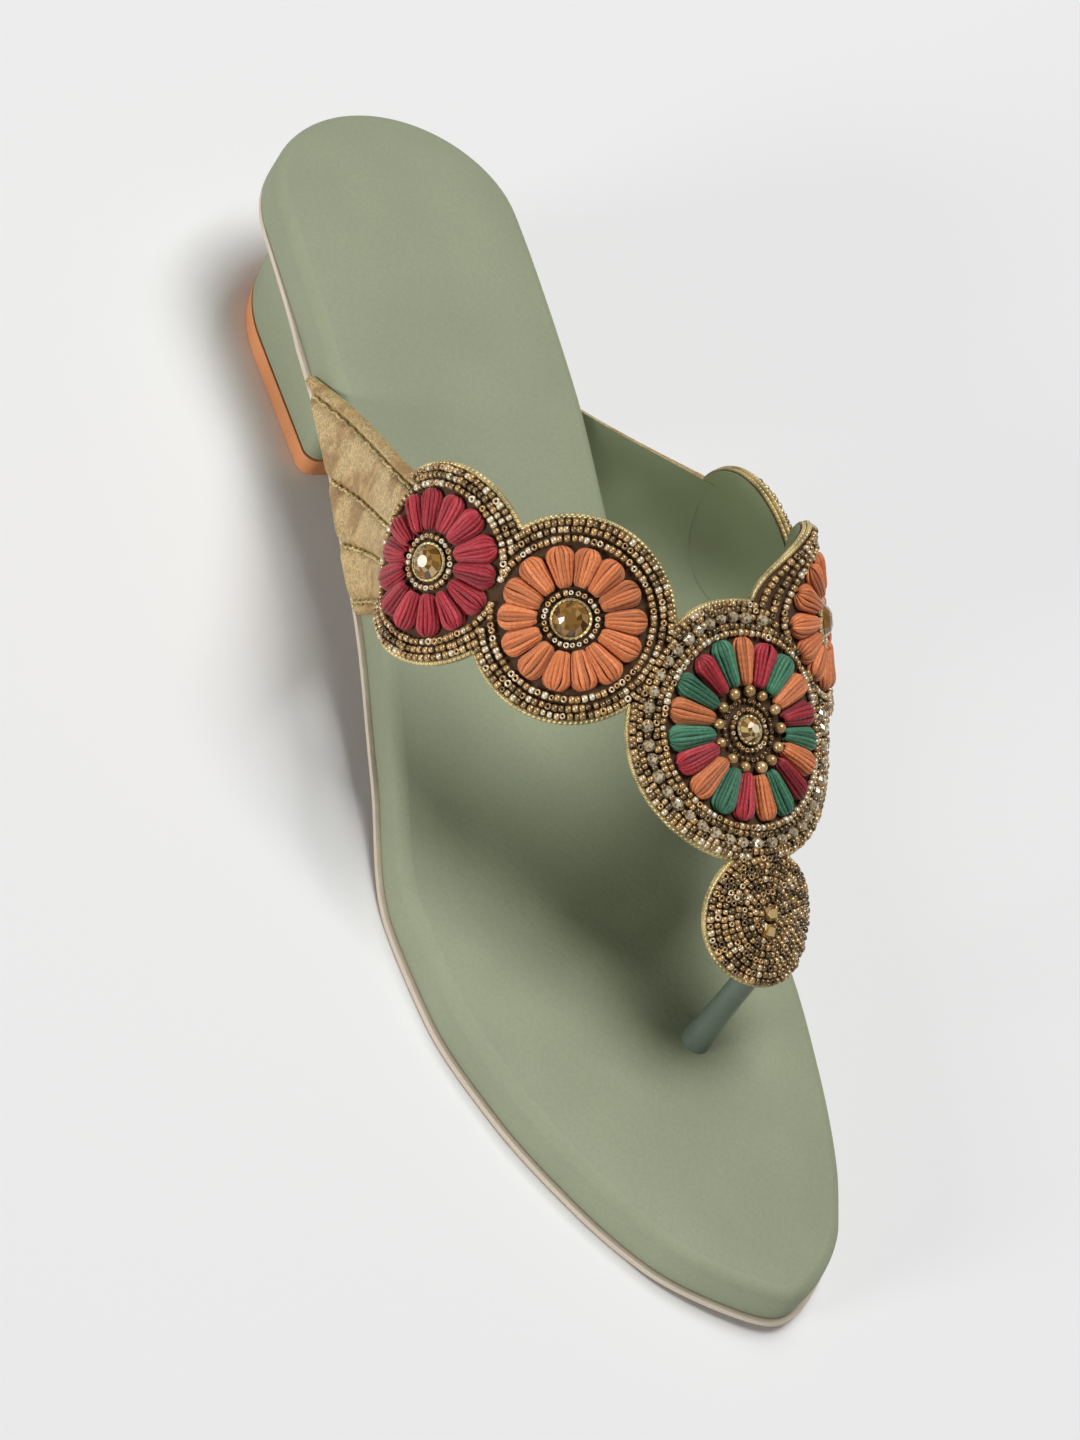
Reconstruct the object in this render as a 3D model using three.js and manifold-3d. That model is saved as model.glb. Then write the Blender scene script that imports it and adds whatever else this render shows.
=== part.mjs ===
// Toe-post sandal with a low block heel, for the right foot. Millimetres, +Z up.
// The origin is the middle of the heel's contact face on the floor.
// The toe points along -Y, and +X is the inner side, where the big toe is.
import * as THREE from "three";
import { mergeVertices } from "three/addons/utils/BufferGeometryUtils.js";
import Module from "manifold-3d";

const wasm = await Module();
wasm.setup();

// Sole sizes
const shoeLength = 248;
const heelWidth = 55;
const waistWidth = 56;
const ballWidth = 77;
const heelRoundLength = 25;
const toeRoundLength = 14;
const outsoleThickness = 1.3;
const outsoleEdgeRound = 0.4;
const footbedThickness = 7.9;
const footbedMargin = 1.1; // the rim of outsole that shows round the footbed
const rimTuckLength = 50; // from here to the back end the rim tucks in under the footbed
const footbedEdgeRound = 2.8;
const footbedCrown = 0.5; // the padding's rise inside its edge
const toeSpring = 1.6;
const clearance = 0.3; // between pieces that touch
const curvedClearance = 0.5; // between the strap and what is sewn on it

// Heel sizes
const heelHeight = 20; // floor to outsole at the front of the heel
const heelFront = 64; // from the sole's back end to the heel's front face
const heelInset = 4.7; // from the outsole's edge to the heel's side
const heelBackInset = 5.5; // from the sole's back end to the heel's back
const heelBackRake = 4; // how far the heel's back comes forward at the floor
const heelSideRake = 0.8;
const heelCornerRound = 2.8;
const liftThickness = 4.2;

// Strap sizes
const strapWall = 1.8;
const strapFootInset = 0.7; // from the outsole's edge to the strap's lining
const outerFootBack = 58.5; // from the sole's back end to the outer arm's back corner
const innerFootBack = 64;
const outerFootWidth = 47.5; // along the sole's edge
const innerFootWidth = 47;
const strapFootLift = 1; // over the outsole, so that the leaning wall clears it
const strapRake = 9.5; // how far the strap leans forward beside the footbed
const outerNeckWidth = 23; // where the outer arm runs into its first medallion
const innerNeckWidth = 30;
const innerNeckForward = 2.5; // its middle, in front of the medallion's
const instepHeight = 51.5; // floor to the lining under the centre medallion
const noseBendStart = 22; // in front of the centre medallion's middle the strap bends down
const noseDrop = 4; // depth of that bend at its front end
const dropDistance = 32.1; // from the centre medallion's middle to the drop's middle

// Embroidery sizes
const redRadius = 17.8;
const orangeRadius = 18;
const centreRadius = 23.2;
const dropRadius = 12.2;
const redPetalRadius = 12.8;
const orangePetalRadius = 12.7;
const centrePetalRadius = 16.2;
const sideHubRadius = 5.5; // the petals start round it
const centreHubRadius = 7.7;
const petalHeight = 2.2;
const petalValley = 1.3;
const petalWell = 0.8; // between the petals and the raised band of beads
const beadBand = 0.9; // height of that band over the wall
const pipingWidth = 1.1;
const sideStoneRadius = 3;
const centreStoneRadius = 2.2;
const dropStoneRadius = 1.9;
const stoneHeight = 2;

// Toe post sizes
const postRadius = 2.8;
const postTaper = 0.85; // its radius at the top for each millimetre at the foot
const postForward = 7.7; // from the drop's middle to the post's foot, towards the toe
const postAside = 2.3; // and to the outer side
const postReach = 7.5; // from the drop's middle to where the post meets the lining

// How finely the curved pieces are divided
const soleSteps = 40;
const heelSteps = 20;
const edgeSteps = 3;
const strapStepsLong = 44;
const strapStepsCross = 6;
const discSides = 28;
const stoneSides = 8;
const postSides = 14;
const postRings = 6;
const sidePetals = 14;
const centrePetals = 19;

const heelMiddle = (heelFront + heelBackInset + heelBackRake) / 2;
const footbedTop = outsoleThickness + clearance + footbedThickness;

// A point given by how far it lies to the inner side, from the sole's back end, and up.
function at(across, along, up) {
  return new THREE.Vector3(across, heelMiddle - along, up);
}

// The value of one column at a place between rows, smooth and with no overshoot.
function smooth(rows, column, place) {
  const last = rows.length - 1;
  const span = (i) => rows[i + 1].along - rows[i].along;
  const slope = (i) => (rows[i + 1][column] - rows[i][column]) / span(i);
  const tangent = (i) => {
    if (i === 0) return slope(0);
    if (i === last) return slope(last - 1);
    const before = slope(i - 1);
    const after = slope(i);
    return before * after > 0 ? (2 * before * after) / (before + after) : 0;
  };
  let i = 0;
  while (i < last - 1 && place > rows[i + 1].along) i++;
  const t = THREE.MathUtils.clamp((place - rows[i].along) / span(i), 0, 1);
  const s = 1 - t;
  const ends = s * s * (1 + 2 * t) * rows[i][column] + t * t * (1 + 2 * s) * rows[i + 1][column];
  return ends + span(i) * t * s * (s * tangent(i) - t * tangent(i + 1));
}

// Sole outline: along is a share of the length, and middle is the bend to the inner side.
const soleRows = [
  { along: 0, width: 0.98 * heelWidth, middle: 0.015 * ballWidth },
  { along: 0.14, width: heelWidth, middle: 0.017 * ballWidth },
  { along: 0.27, width: heelWidth, middle: 0.023 * ballWidth },
  { along: 0.4, width: waistWidth, middle: 0.008 * ballWidth },
  { along: 0.55, width: 0.86 * ballWidth, middle: 0.016 * ballWidth },
  { along: 0.665, width: ballWidth, middle: 0.03 * ballWidth },
  { along: 0.738, width: 0.975 * ballWidth, middle: 0.034 * ballWidth },
  { along: 0.818, width: 0.865 * ballWidth, middle: 0.055 * ballWidth },
  { along: 0.899, width: 0.67 * ballWidth, middle: 0.093 * ballWidth },
  { along: 0.963, width: 0.425 * ballWidth, middle: 0.125 * ballWidth },
  { along: 1, width: 0.26 * ballWidth, middle: 0.143 * ballWidth },
];

// Height of the outsole's underside over the floor, flat where the forefoot stands.
const heightRows = [
  { along: 0, height: 1.25 * heelHeight },
  { along: 0.13, height: 1.18 * heelHeight },
  { along: 0.254, height: heelHeight },
  { along: 0.395, height: 0.66 * heelHeight },
  { along: 0.536, height: 0.28 * heelHeight },
  { along: 0.664, height: 0 },
  { along: 0.921, height: 0 },
  { along: 1, height: toeSpring },
];

function underside(along) {
  return smooth(heightRows, "height", along / shoeLength);
}

// The share of the full width that is left near a rounded end.
function endRound(distance, roundLength) {
  const t = THREE.MathUtils.clamp(1 - distance / roundLength, 0, 1);
  return Math.sqrt(1 - t * t);
}

function soleMiddle(along) {
  return smooth(soleRows, "middle", along / shoeLength);
}

function soleHalfWidth(along) {
  const rounds = endRound(along, heelRoundLength) * endRound(shoeLength - along, toeRoundLength);
  return 0.5 * smooth(soleRows, "width", along / shoeLength) * rounds;
}

// The outline as x across and y along. The turn runs from the back end round to the toe at a half turn.
function solePoint(turn) {
  const along = 0.5 * shoeLength * (1 - Math.cos(turn));
  return new THREE.Vector2(soleMiddle(along) + Math.sign(Math.sin(turn)) * soleHalfWidth(along), along);
}

// The same point moved in by inset, square to the edge.
function soleInsetPoint(turn, inset) {
  const step = 0.01;
  const way = solePoint(turn + step).sub(solePoint(turn - step)).normalize();
  return solePoint(turn).add(new THREE.Vector2(-way.y, way.x).multiplyScalar(inset));
}

// Joins shared corners, drops empty triangles and turns the faces outwards.
function closedGeometry(points, faces) {
  const raw = new THREE.BufferGeometry();
  raw.setAttribute("position", new THREE.Float32BufferAttribute(points.flatMap((p) => p.toArray()), 3));
  raw.setIndex(faces.flat());
  const geometry = mergeVertices(raw, 1e-3);
  const corner = geometry.index.array;
  const position = geometry.getAttribute("position");
  const kept = [];
  const [a, b, c] = [new THREE.Vector3(), new THREE.Vector3(), new THREE.Vector3()];
  let volume = 0;
  for (let i = 0; i < corner.length; i += 3) {
    const [p, q, r] = [corner[i], corner[i + 1], corner[i + 2]];
    if (p === q || q === r || r === p) continue;
    kept.push(p, q, r);
    a.fromBufferAttribute(position, p);
    b.fromBufferAttribute(position, q);
    c.fromBufferAttribute(position, r);
    volume += a.dot(b.cross(c));
  }
  geometry.setIndex(volume < 0 ? kept.reverse() : kept);
  return geometry;
}

function solidFrom(geometry) {
  const plain = new THREE.BufferGeometry();
  plain.setAttribute("position", geometry.getAttribute("position"));
  plain.setIndex(geometry.index);
  const welded = mergeVertices(plain, 1e-3);
  const vertProperties = welded.getAttribute("position").array;
  const triVerts = new Uint32Array(welded.index.array);
  return new wasm.Manifold(new wasm.Mesh({ numProp: 3, vertProperties, triVerts }));
}

function geometryOf(solid) {
  const made = solid.getMesh();
  const geometry = new THREE.BufferGeometry();
  geometry.setAttribute("position", new THREE.BufferAttribute(made.vertProperties, 3));
  geometry.setIndex(new THREE.BufferAttribute(made.triVerts, 1));
  return geometry;
}

// A closed solid from stacked levels. A level is a row of stations, and a station its two side points.
function stackedPlate(levels) {
  const points = levels.flat(2);
  const count = levels[0].length;
  const index = (level, station, side) => 2 * (level * count + station) + side;
  const faces = [];
  const quad = (p, q, r, s) => faces.push([p, q, r], [p, r, s]);
  const top = levels.length - 1;
  const end = count - 1;
  for (let i = 0; i < end; i++) {
    quad(index(0, i, 0), index(0, i, 1), index(0, i + 1, 1), index(0, i + 1, 0));
    quad(index(top, i, 0), index(top, i + 1, 0), index(top, i + 1, 1), index(top, i, 1));
    for (let k = 0; k < top; k++) {
      quad(index(k, i, 0), index(k, i + 1, 0), index(k + 1, i + 1, 0), index(k + 1, i, 0));
      quad(index(k, i + 1, 1), index(k, i, 1), index(k + 1, i, 1), index(k + 1, i + 1, 1));
    }
  }
  for (let k = 0; k < top; k++) {
    quad(index(k, 0, 1), index(k, 0, 0), index(k + 1, 0, 0), index(k + 1, 0, 1));
    quad(index(k, end, 0), index(k, end, 1), index(k + 1, end, 1), index(k + 1, end, 0));
  }
  return closedGeometry(points, faces);
}

// One level of the sole: the outline moved in, at a height over the outsole's underside.
// The tuck is how much further in it lies at the back end.
function soleLevel(inset, heightOver, tuck = 0) {
  return Array.from({ length: soleSteps + 1 }, (_, i) =>
    [-1, 1].map((side) => {
      const turn = (side * Math.PI * i) / soleSteps;
      const tuckedShare = THREE.MathUtils.clamp(1 - solePoint(turn).y / rimTuckLength, 0, 1);
      const spot = soleInsetPoint(turn, inset + tuck * Math.sqrt(tuckedShare));
      return at(spot.x, spot.y, underside(spot.y) + heightOver);
    }),
  );
}

function outsoleGeometry() {
  return stackedPlate([
    soleLevel(outsoleEdgeRound, 0, footbedMargin),
    soleLevel(0, outsoleEdgeRound, footbedMargin),
    soleLevel(0, outsoleThickness, footbedMargin),
  ]);
}

function footbedGeometry() {
  const levels = [soleLevel(footbedMargin, outsoleThickness + clearance)];
  for (let i = 0; i <= edgeSteps; i++) {
    const turn = (0.5 * Math.PI * i) / edgeSteps;
    const inset = footbedMargin + footbedEdgeRound * (1 - Math.cos(turn));
    levels.push(soleLevel(inset, footbedTop - footbedEdgeRound * (1 - Math.sin(turn)) - footbedCrown));
  }
  levels.push(soleLevel(footbedMargin + 3 * footbedEdgeRound, footbedTop));
  return stackedPlate(levels);
}

// One level of the heel. The share is 0 at the floor and 1 under the outsole.
function heelLevel(share, upAt) {
  const inset = heelInset + heelSideRake * (1 - share);
  const back = heelBackInset + heelBackRake * (1 - share);
  return Array.from({ length: heelSteps + 1 }, (_, i) => {
    const along = back + 0.5 * (heelFront - back) * (1 - Math.cos((Math.PI * i) / heelSteps));
    const cornerLeft = THREE.MathUtils.clamp(1 - (heelFront - along) / heelCornerRound, 0, 1);
    const corner = heelCornerRound * (1 - Math.sqrt(1 - cornerLeft * cornerLeft));
    const width = 0.5 * smooth(soleRows, "width", along / shoeLength) - inset;
    const half = width * endRound(along - back, heelRoundLength) - corner;
    return [-1, 1].map((side) => at(soleMiddle(along) + side * half, along, upAt(along)));
  });
}

function liftGeometry() {
  const share = liftThickness / heelHeight;
  return stackedPlate([heelLevel(0, () => 0), heelLevel(share, () => liftThickness)]);
}

function heelBlockGeometry() {
  const bottom = liftThickness + clearance;
  return stackedPlate([
    heelLevel(bottom / heelHeight, () => bottom),
    heelLevel(1, (along) => underside(along) - clearance),
  ]);
}

// A line across the strap where it stands on the outsole, or further up beside the footbed.
function strapFootLine(side, forward, heightOver) {
  const back = (side < 0 ? outerFootBack : innerFootBack) + forward;
  const width = side < 0 ? outerFootWidth : innerFootWidth;
  return (cross) => {
    const along = back + 0.5 * width * (cross + 1);
    const across = soleMiddle(along) + side * (soleHalfWidth(along) - strapFootInset);
    return at(across, along, underside(along) + heightOver);
  };
}

// A line across the strap through a medallion's middle. Towards the toe it may bend down like a nose.
function medallionLine(row) {
  const middle = at(row.across * ballWidth, row.along * shoeLength, row.up * instepHeight);
  const front = new THREE.Vector3(row.lean, -1, -row.fall).normalize();
  const outward = new THREE.Vector3(0, -row.fall, 1).normalize();
  return (cross) => {
    const reach = cross * (cross < 0 ? row.backReach : row.frontReach);
    const share = Math.max(0, reach - noseBendStart) / (row.frontReach - noseBendStart);
    const bend = row.nose === 0 ? 0 : row.nose * share ** 2;
    return middle.clone().addScaledVector(front, reach).addScaledVector(outward, -bend);
  };
}

// Where the strap's lining lies. Shares of the ball width, the length and the instep height.
// Lean and fall say how far its front edge goes out and down for each millimetre forward.
const discReach = 1.12;
const noseReach = dropDistance + 1.3 * dropRadius;
const redReach = discReach * redRadius;
const orangeReach = discReach * orangeRadius;
const centreBack = discReach * centreRadius;
const medallionRows = [
  {
    across: -0.413,
    along: 0.481,
    up: 0.932,
    lean: -0.428,
    fall: 1.445,
    backReach: redReach,
    frontReach: redReach,
    nose: 0,
  },
  {
    across: -0.213,
    along: 0.557,
    up: 1.112,
    lean: -0.593,
    fall: 1.112,
    backReach: orangeReach,
    frontReach: orangeReach,
    nose: 0,
  },
  {
    across: 0.17,
    along: 0.64,
    up: 1,
    lean: 0.011,
    fall: 0.49,
    backReach: centreBack,
    frontReach: noseReach,
    nose: noseDrop,
  },
  {
    across: 0.448,
    along: 0.558,
    up: 1.07,
    lean: 0.44,
    fall: 1.2,
    backReach: orangeReach,
    frontReach: orangeReach,
    nose: 0,
  },
  {
    across: 0.53,
    along: 0.457,
    up: 0.757,
    lean: 0.563,
    fall: 1.36,
    backReach: redReach,
    frontReach: redReach,
    nose: 0,
  },
];

const footHeight = outsoleThickness + strapFootLift;
const strapLines = [
  strapFootLine(-1, 0, footHeight),
  strapFootLine(-1, strapRake, footbedTop + clearance),
  ...medallionRows.map(medallionLine),
  strapFootLine(1, 0, footHeight),
];

// Distance along the strap's middle to each cross line.
const strapKnots = strapLines.reduce((knots, line, i) => {
  const step = i === 0 ? 0 : line(0).distanceTo(strapLines[i - 1](0));
  return [...knots, (knots[i - 1] ?? 0) + step];
}, []);
const strapLength = strapKnots.at(-1);

// A point of the lining: long is the distance along the strap, cross is -1 at the back and 1 in front.
function liningPoint(long, cross) {
  const last = strapKnots.length - 1;
  let i = 0;
  while (i < last - 1 && long > strapKnots[i + 1]) i++;
  const spots = [i - 1, i, i + 1, i + 2].map((k) => (strapLines[k] ? strapLines[k](cross) : null));
  const knots = [i - 1, i, i + 1, i + 2].map((k) => strapKnots[k]);
  const slope = (k) => spots[k + 1].clone().sub(spots[k]).divideScalar(knots[k + 1] - knots[k]);
  const tangent = (k) => {
    if (!spots[k - 1]) return slope(k);
    if (!spots[k + 1]) return slope(k - 1);
    const before = knots[k] - knots[k - 1];
    const after = knots[k + 1] - knots[k];
    const sum = slope(k - 1).multiplyScalar(after).addScaledVector(slope(k), before);
    return sum.divideScalar(before + after);
  };
  const span = knots[2] - knots[1];
  const t = THREE.MathUtils.clamp((long - knots[1]) / span, 0, 1);
  const s = 1 - t;
  return spots[1]
    .clone()
    .multiplyScalar(s * s * (1 + 2 * t))
    .addScaledVector(spots[2], t * t * (1 + 2 * s))
    .addScaledVector(tangent(1), span * t * s * s)
    .addScaledVector(tangent(2), -span * t * t * s);
}

function liningFrame(long, cross) {
  const step = 0.02;
  const inside = THREE.MathUtils.clamp(long, step, strapLength - step);
  const alongWay = liningPoint(inside + step, cross).sub(liningPoint(inside - step, cross));
  const crossWay = liningPoint(long, cross + step).sub(liningPoint(long, cross - step));
  const outward = crossWay.clone().cross(alongWay).normalize();
  return { way: alongWay.normalize(), outward };
}

function strapPoint(long, cross, lift) {
  return liningPoint(long, cross).addScaledVector(liningFrame(long, cross).outward, lift);
}

// A layer of the whole sheet between two heights over the lining, before it is cut to its outline.
function strapLayer(low, high) {
  const points = [];
  const faces = [];
  const across = strapStepsCross + 1;
  for (const lift of [low, high]) {
    for (let i = 0; i <= strapStepsLong; i++) {
      for (let j = 0; j <= strapStepsCross; j++) {
        points.push(strapPoint((strapLength * i) / strapStepsLong, (2 * j) / strapStepsCross - 1, lift));
      }
    }
  }
  const layer = points.length / 2;
  const index = (i, j, k) => k * layer + i * across + j;
  const quad = (p, q, r, s) => faces.push([p, q, r], [p, r, s]);
  for (let i = 0; i < strapStepsLong; i++) {
    for (let j = 0; j < strapStepsCross; j++) {
      quad(index(i, j, 0), index(i + 1, j, 0), index(i + 1, j + 1, 0), index(i, j + 1, 0));
      quad(index(i, j, 1), index(i, j + 1, 1), index(i + 1, j + 1, 1), index(i + 1, j, 1));
    }
    const j = strapStepsCross;
    quad(index(i, 0, 0), index(i, 0, 1), index(i + 1, 0, 1), index(i + 1, 0, 0));
    quad(index(i, j, 1), index(i, j, 0), index(i + 1, j, 0), index(i + 1, j, 1));
  }
  for (let j = 0; j < strapStepsCross; j++) {
    const i = strapStepsLong;
    quad(index(0, j, 1), index(0, j, 0), index(0, j + 1, 0), index(0, j + 1, 1));
    quad(index(i, j, 0), index(i, j, 1), index(i, j + 1, 1), index(i, j + 1, 0));
  }
  return solidFrom(closedGeometry(points, faces));
}

// A place on the strap with its own flat axes: x along the strap, y towards its front edge, z outward.
function strapPlace(long, cross) {
  const { way, outward } = liningFrame(long, cross);
  const middle = strapPoint(long, cross, strapWall);
  const front = way.clone().cross(outward).normalize();
  return { long, cross, middle, axes: [way, front, outward] };
}

function medallion(line, radius, petalRadius) {
  return { ...strapPlace(strapKnots[line], 0), radius, petalRadius };
}

const outerRed = medallion(2, redRadius, redPetalRadius);
const outerOrange = medallion(3, orangeRadius, orangePetalRadius);
const centre = medallion(4, centreRadius, centrePetalRadius);
const innerOrange = medallion(5, orangeRadius, orangePetalRadius);
const innerRed = medallion(6, redRadius, redPetalRadius);
const medallions = [outerRed, outerOrange, centre, innerOrange, innerRed];
const drop = { ...strapPlace(centre.long, dropDistance / noseReach), radius: dropRadius };

// A round cutter square to the strap at a place.
function discCutter(place, radius) {
  const below = 16;
  const above = 10;
  const cutter = new THREE.CylinderGeometry(radius, radius, below + above, discSides);
  cutter.rotateX(0.5 * Math.PI).translate(0, 0, 0.5 * (above - below));
  cutter.deleteAttribute("normal");
  cutter.deleteAttribute("uv");
  const [way, front, outward] = place.axes;
  cutter.applyMatrix4(new THREE.Matrix4().makeBasis(front, way, outward).setPosition(place.middle));
  return solidFrom(cutter);
}

// The cutter of one arm, from its two corners at the sole into its first medallion.
function armCutter(footLine, red, neckWidth, neckForward) {
  const depth = 14;
  const back = footLine(-1);
  const front = footLine(1);
  const [x, y, z] = red.axes;
  const side = Math.sign(red.long - centre.long);
  const neck = (reach) => {
    const aside = side * Math.sqrt(Math.max(0, redRadius ** 2 - reach ** 2));
    return red.middle.clone().addScaledVector(x, aside).addScaledVector(y, reach);
  };
  const backNeck = neck(neckForward - 0.5 * neckWidth);
  const frontNeck = neck(neckForward + 0.5 * neckWidth);
  const extend = (from, through) => through.clone().lerp(from, 1.3);
  const corners = [extend(back, backNeck), extend(front, frontNeck), frontNeck, red.middle, backNeck];
  const outward = z.clone().add(new THREE.Vector3(side, 0, 0)).normalize();
  const right = new THREE.Vector3(0, -1, 0).cross(outward).normalize();
  const forward = outward.clone().cross(right);
  const basis = new THREE.Matrix4().makeBasis(right, forward, outward).setPosition(back);
  const toFlat = basis.clone().invert();
  const flat = corners.map((corner) => corner.clone().applyMatrix4(toFlat));
  const shape = new THREE.Shape(flat.map((p) => new THREE.Vector2(p.x, p.y)));
  const cutter = new THREE.ExtrudeGeometry(shape, { depth: 2 * depth, bevelEnabled: false });
  cutter.translate(0, 0, -depth).deleteAttribute("normal");
  cutter.deleteAttribute("uv");
  return solidFrom(cutter.applyMatrix4(basis));
}

const joined = (solids) => solids.reduce((sum, solid) => sum.add(solid));

function strapGeometry() {
  const arms = [
    armCutter(strapLines[0], outerRed, outerNeckWidth, 0),
    armCutter(strapLines.at(-1), innerRed, innerNeckWidth, innerNeckForward),
  ];
  const discs = [...medallions, drop];
  const outline = joined([...arms, ...discs.map((place) => discCutter(place, place.radius))]);
  const bands = joined(discs.map((place) => discCutter(place, place.radius - pipingWidth)));
  const wells = joined(medallions.map((place) => discCutter(place, place.petalRadius + petalWell)));
  const wall = strapLayer(0, strapWall).intersect(outline);
  const raised = strapLayer(0.5 * strapWall, strapWall + beadBand).intersect(bands.subtract(wells));
  return geometryOf(wall.add(raised));
}

// A point over the strap given by its flat offsets from a place and its height over the wall.
function reliefPoint(place, x, y, lift) {
  let { long, cross } = place;
  const step = 0.05;
  const flat = (spot) => {
    const away = spot.clone().sub(place.middle);
    return [away.dot(place.axes[0]), away.dot(place.axes[1])];
  };
  for (let round = 0; round < 6; round++) {
    const [x0, y0] = flat(strapPoint(long, cross, strapWall));
    const [x1, y1] = flat(strapPoint(long + step, cross, strapWall));
    const [x2, y2] = flat(strapPoint(long, cross + step, strapWall));
    const [a, b, c, d] = [x1 - x0, x2 - x0, y1 - y0, y2 - y0].map((v) => v / step);
    const scale = 1 / (a * d - b * c);
    long += scale * (d * (x - x0) - b * (y - y0));
    cross += scale * (a * (y - y0) - c * (x - x0));
  }
  return strapPoint(long, cross, strapWall + lift);
}

// A closed relief on the strap. Its section, a loop of radius and height, is turned round a place.
function reliefGeometry(place, sectionAt, sides) {
  const points = [];
  const faces = [];
  const count = sectionAt(0).length;
  for (let i = 0; i < sides; i++) {
    const turn = (2 * Math.PI * i) / sides;
    for (const [radius, lift] of sectionAt(i)) {
      points.push(reliefPoint(place, radius * Math.cos(turn), radius * Math.sin(turn), lift));
    }
  }
  for (let i = 0; i < sides; i++) {
    const next = (i + 1) % sides;
    for (let k = 0; k < count; k++) {
      const after = (k + 1) % count;
      const [p, q, r, s] = [i * count + k, next * count + k, next * count + after, i * count + after];
      faces.push([p, q, r], [p, r, s]);
    }
  }
  return closedGeometry(points, faces);
}

// A ring of padded petals. Every fourth side is the line between two petals.
function flowerGeometry(place, hubRadius, petals) {
  const section = (side) => {
    const between = side % 4 === 0;
    const top = between ? petalValley : petalHeight;
    const tip = place.petalRadius * (between ? 0.93 : side % 2 === 0 ? 1 : 0.985);
    return [
      [hubRadius, curvedClearance],
      [hubRadius, 0.7 * top],
      [0.4 * hubRadius + 0.6 * tip, top],
      [tip, 0.6 * top],
      [tip, curvedClearance],
    ];
  };
  return reliefGeometry(place, section, 4 * petals);
}

function stoneGeometry(place, radius, base) {
  const section = () => [
    [0, base],
    [radius, base],
    [radius, base + 0.5 * stoneHeight],
    [0.55 * radius, base + stoneHeight],
    [0, base + stoneHeight],
  ];
  return reliefGeometry(place, section, stoneSides);
}

// The toe post stands on the footbed and ends under the lining of the drop.
function postGeometry() {
  const along = heelMiddle - drop.middle.y + postForward;
  const foot = at(drop.middle.x - postAside, along, underside(along) + footbedTop + clearance);
  const topCross = (dropDistance + postReach) / noseReach;
  const { outward } = liningFrame(centre.long, topCross);
  const top = liningPoint(centre.long, topCross).addScaledVector(outward, -1.6 * curvedClearance);
  const points = [];
  const faces = [];
  for (let k = 0; k <= postRings; k++) {
    for (let i = 0; i < postSides; i++) {
      const turn = (2 * Math.PI * i) / postSides;
      const low = new THREE.Vector3(postRadius * Math.cos(turn), postRadius * Math.sin(turn), 0);
      const high = low.clone().multiplyScalar(postTaper);
      high.z = -(high.x * outward.x + high.y * outward.y) / outward.z;
      points.push(low.add(foot).lerp(high.add(top), k / postRings));
    }
  }
  const high = postRings * postSides;
  for (let k = 0; k < postRings; k++) {
    for (let i = 0; i < postSides; i++) {
      const next = (i + 1) % postSides;
      const [p, q] = [k * postSides + i, k * postSides + next];
      faces.push([p, q, q + postSides], [p, q + postSides, p + postSides]);
    }
  }
  for (let i = 1; i < postSides - 1; i++) {
    faces.push([0, i + 1, i], [high, high + i, high + i + 1]);
  }
  return closedGeometry(points, faces);
}

function finish(color, roughness, metalness = 0) {
  return new THREE.MeshStandardMaterial({ color, roughness, metalness });
}

const sageLeather = finish(0x8c9878, 0.75);
const soleRubber = finish(0xb0a292, 0.8);
const liftRubber = finish(0xd2793a, 0.6);
const goldLeather = finish(0xb09a62, 0.45, 0.5);
const redThread = finish(0xb02c40, 0.8);
const orangeThread = finish(0xe07f4a, 0.8);
const mixedThread = finish(0x8c5a3a, 0.8);
const amberStone = finish(0xb98a3c, 0.15);
const postGloss = finish(0x55695f, 0.25);

const shoe = new THREE.Group();

function addPiece(name, geometry, material) {
  const mesh = new THREE.Mesh(geometry, material);
  mesh.name = name;
  shoe.add(mesh);
}

addPiece("outsole", outsoleGeometry(), soleRubber);
addPiece("footbed", footbedGeometry(), sageLeather);
addPiece("heel_block", heelBlockGeometry(), sageLeather);
addPiece("top_lift", liftGeometry(), liftRubber);
addPiece("strap", strapGeometry(), goldLeather);
addPiece("toe_post", postGeometry(), postGloss);
addPiece("red_flower_outer", flowerGeometry(outerRed, sideHubRadius, sidePetals), redThread);
addPiece("orange_flower_outer", flowerGeometry(outerOrange, sideHubRadius, sidePetals), orangeThread);
addPiece("centre_flower", flowerGeometry(centre, centreHubRadius, centrePetals), mixedThread);
addPiece("orange_flower_inner", flowerGeometry(innerOrange, sideHubRadius, sidePetals), orangeThread);
addPiece("red_flower_inner", flowerGeometry(innerRed, sideHubRadius, sidePetals), redThread);
addPiece("red_stone_outer", stoneGeometry(outerRed, sideStoneRadius, curvedClearance), amberStone);
addPiece("orange_stone_outer", stoneGeometry(outerOrange, sideStoneRadius, curvedClearance), amberStone);
addPiece("centre_stone", stoneGeometry(centre, centreStoneRadius, curvedClearance), amberStone);
addPiece("orange_stone_inner", stoneGeometry(innerOrange, sideStoneRadius, curvedClearance), amberStone);
addPiece("red_stone_inner", stoneGeometry(innerRed, sideStoneRadius, curvedClearance), amberStone);
addPiece("drop_stone", stoneGeometry(drop, dropStoneRadius, beadBand + curvedClearance), amberStone);

export default shoe;
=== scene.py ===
"""A toe-post sandal with a low block heel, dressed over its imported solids."""

import math

import bpy
import numpy as np
from bpy.props import FloatProperty, FloatVectorProperty, IntProperty, PointerProperty
from mathutils import Matrix, Vector


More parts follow.
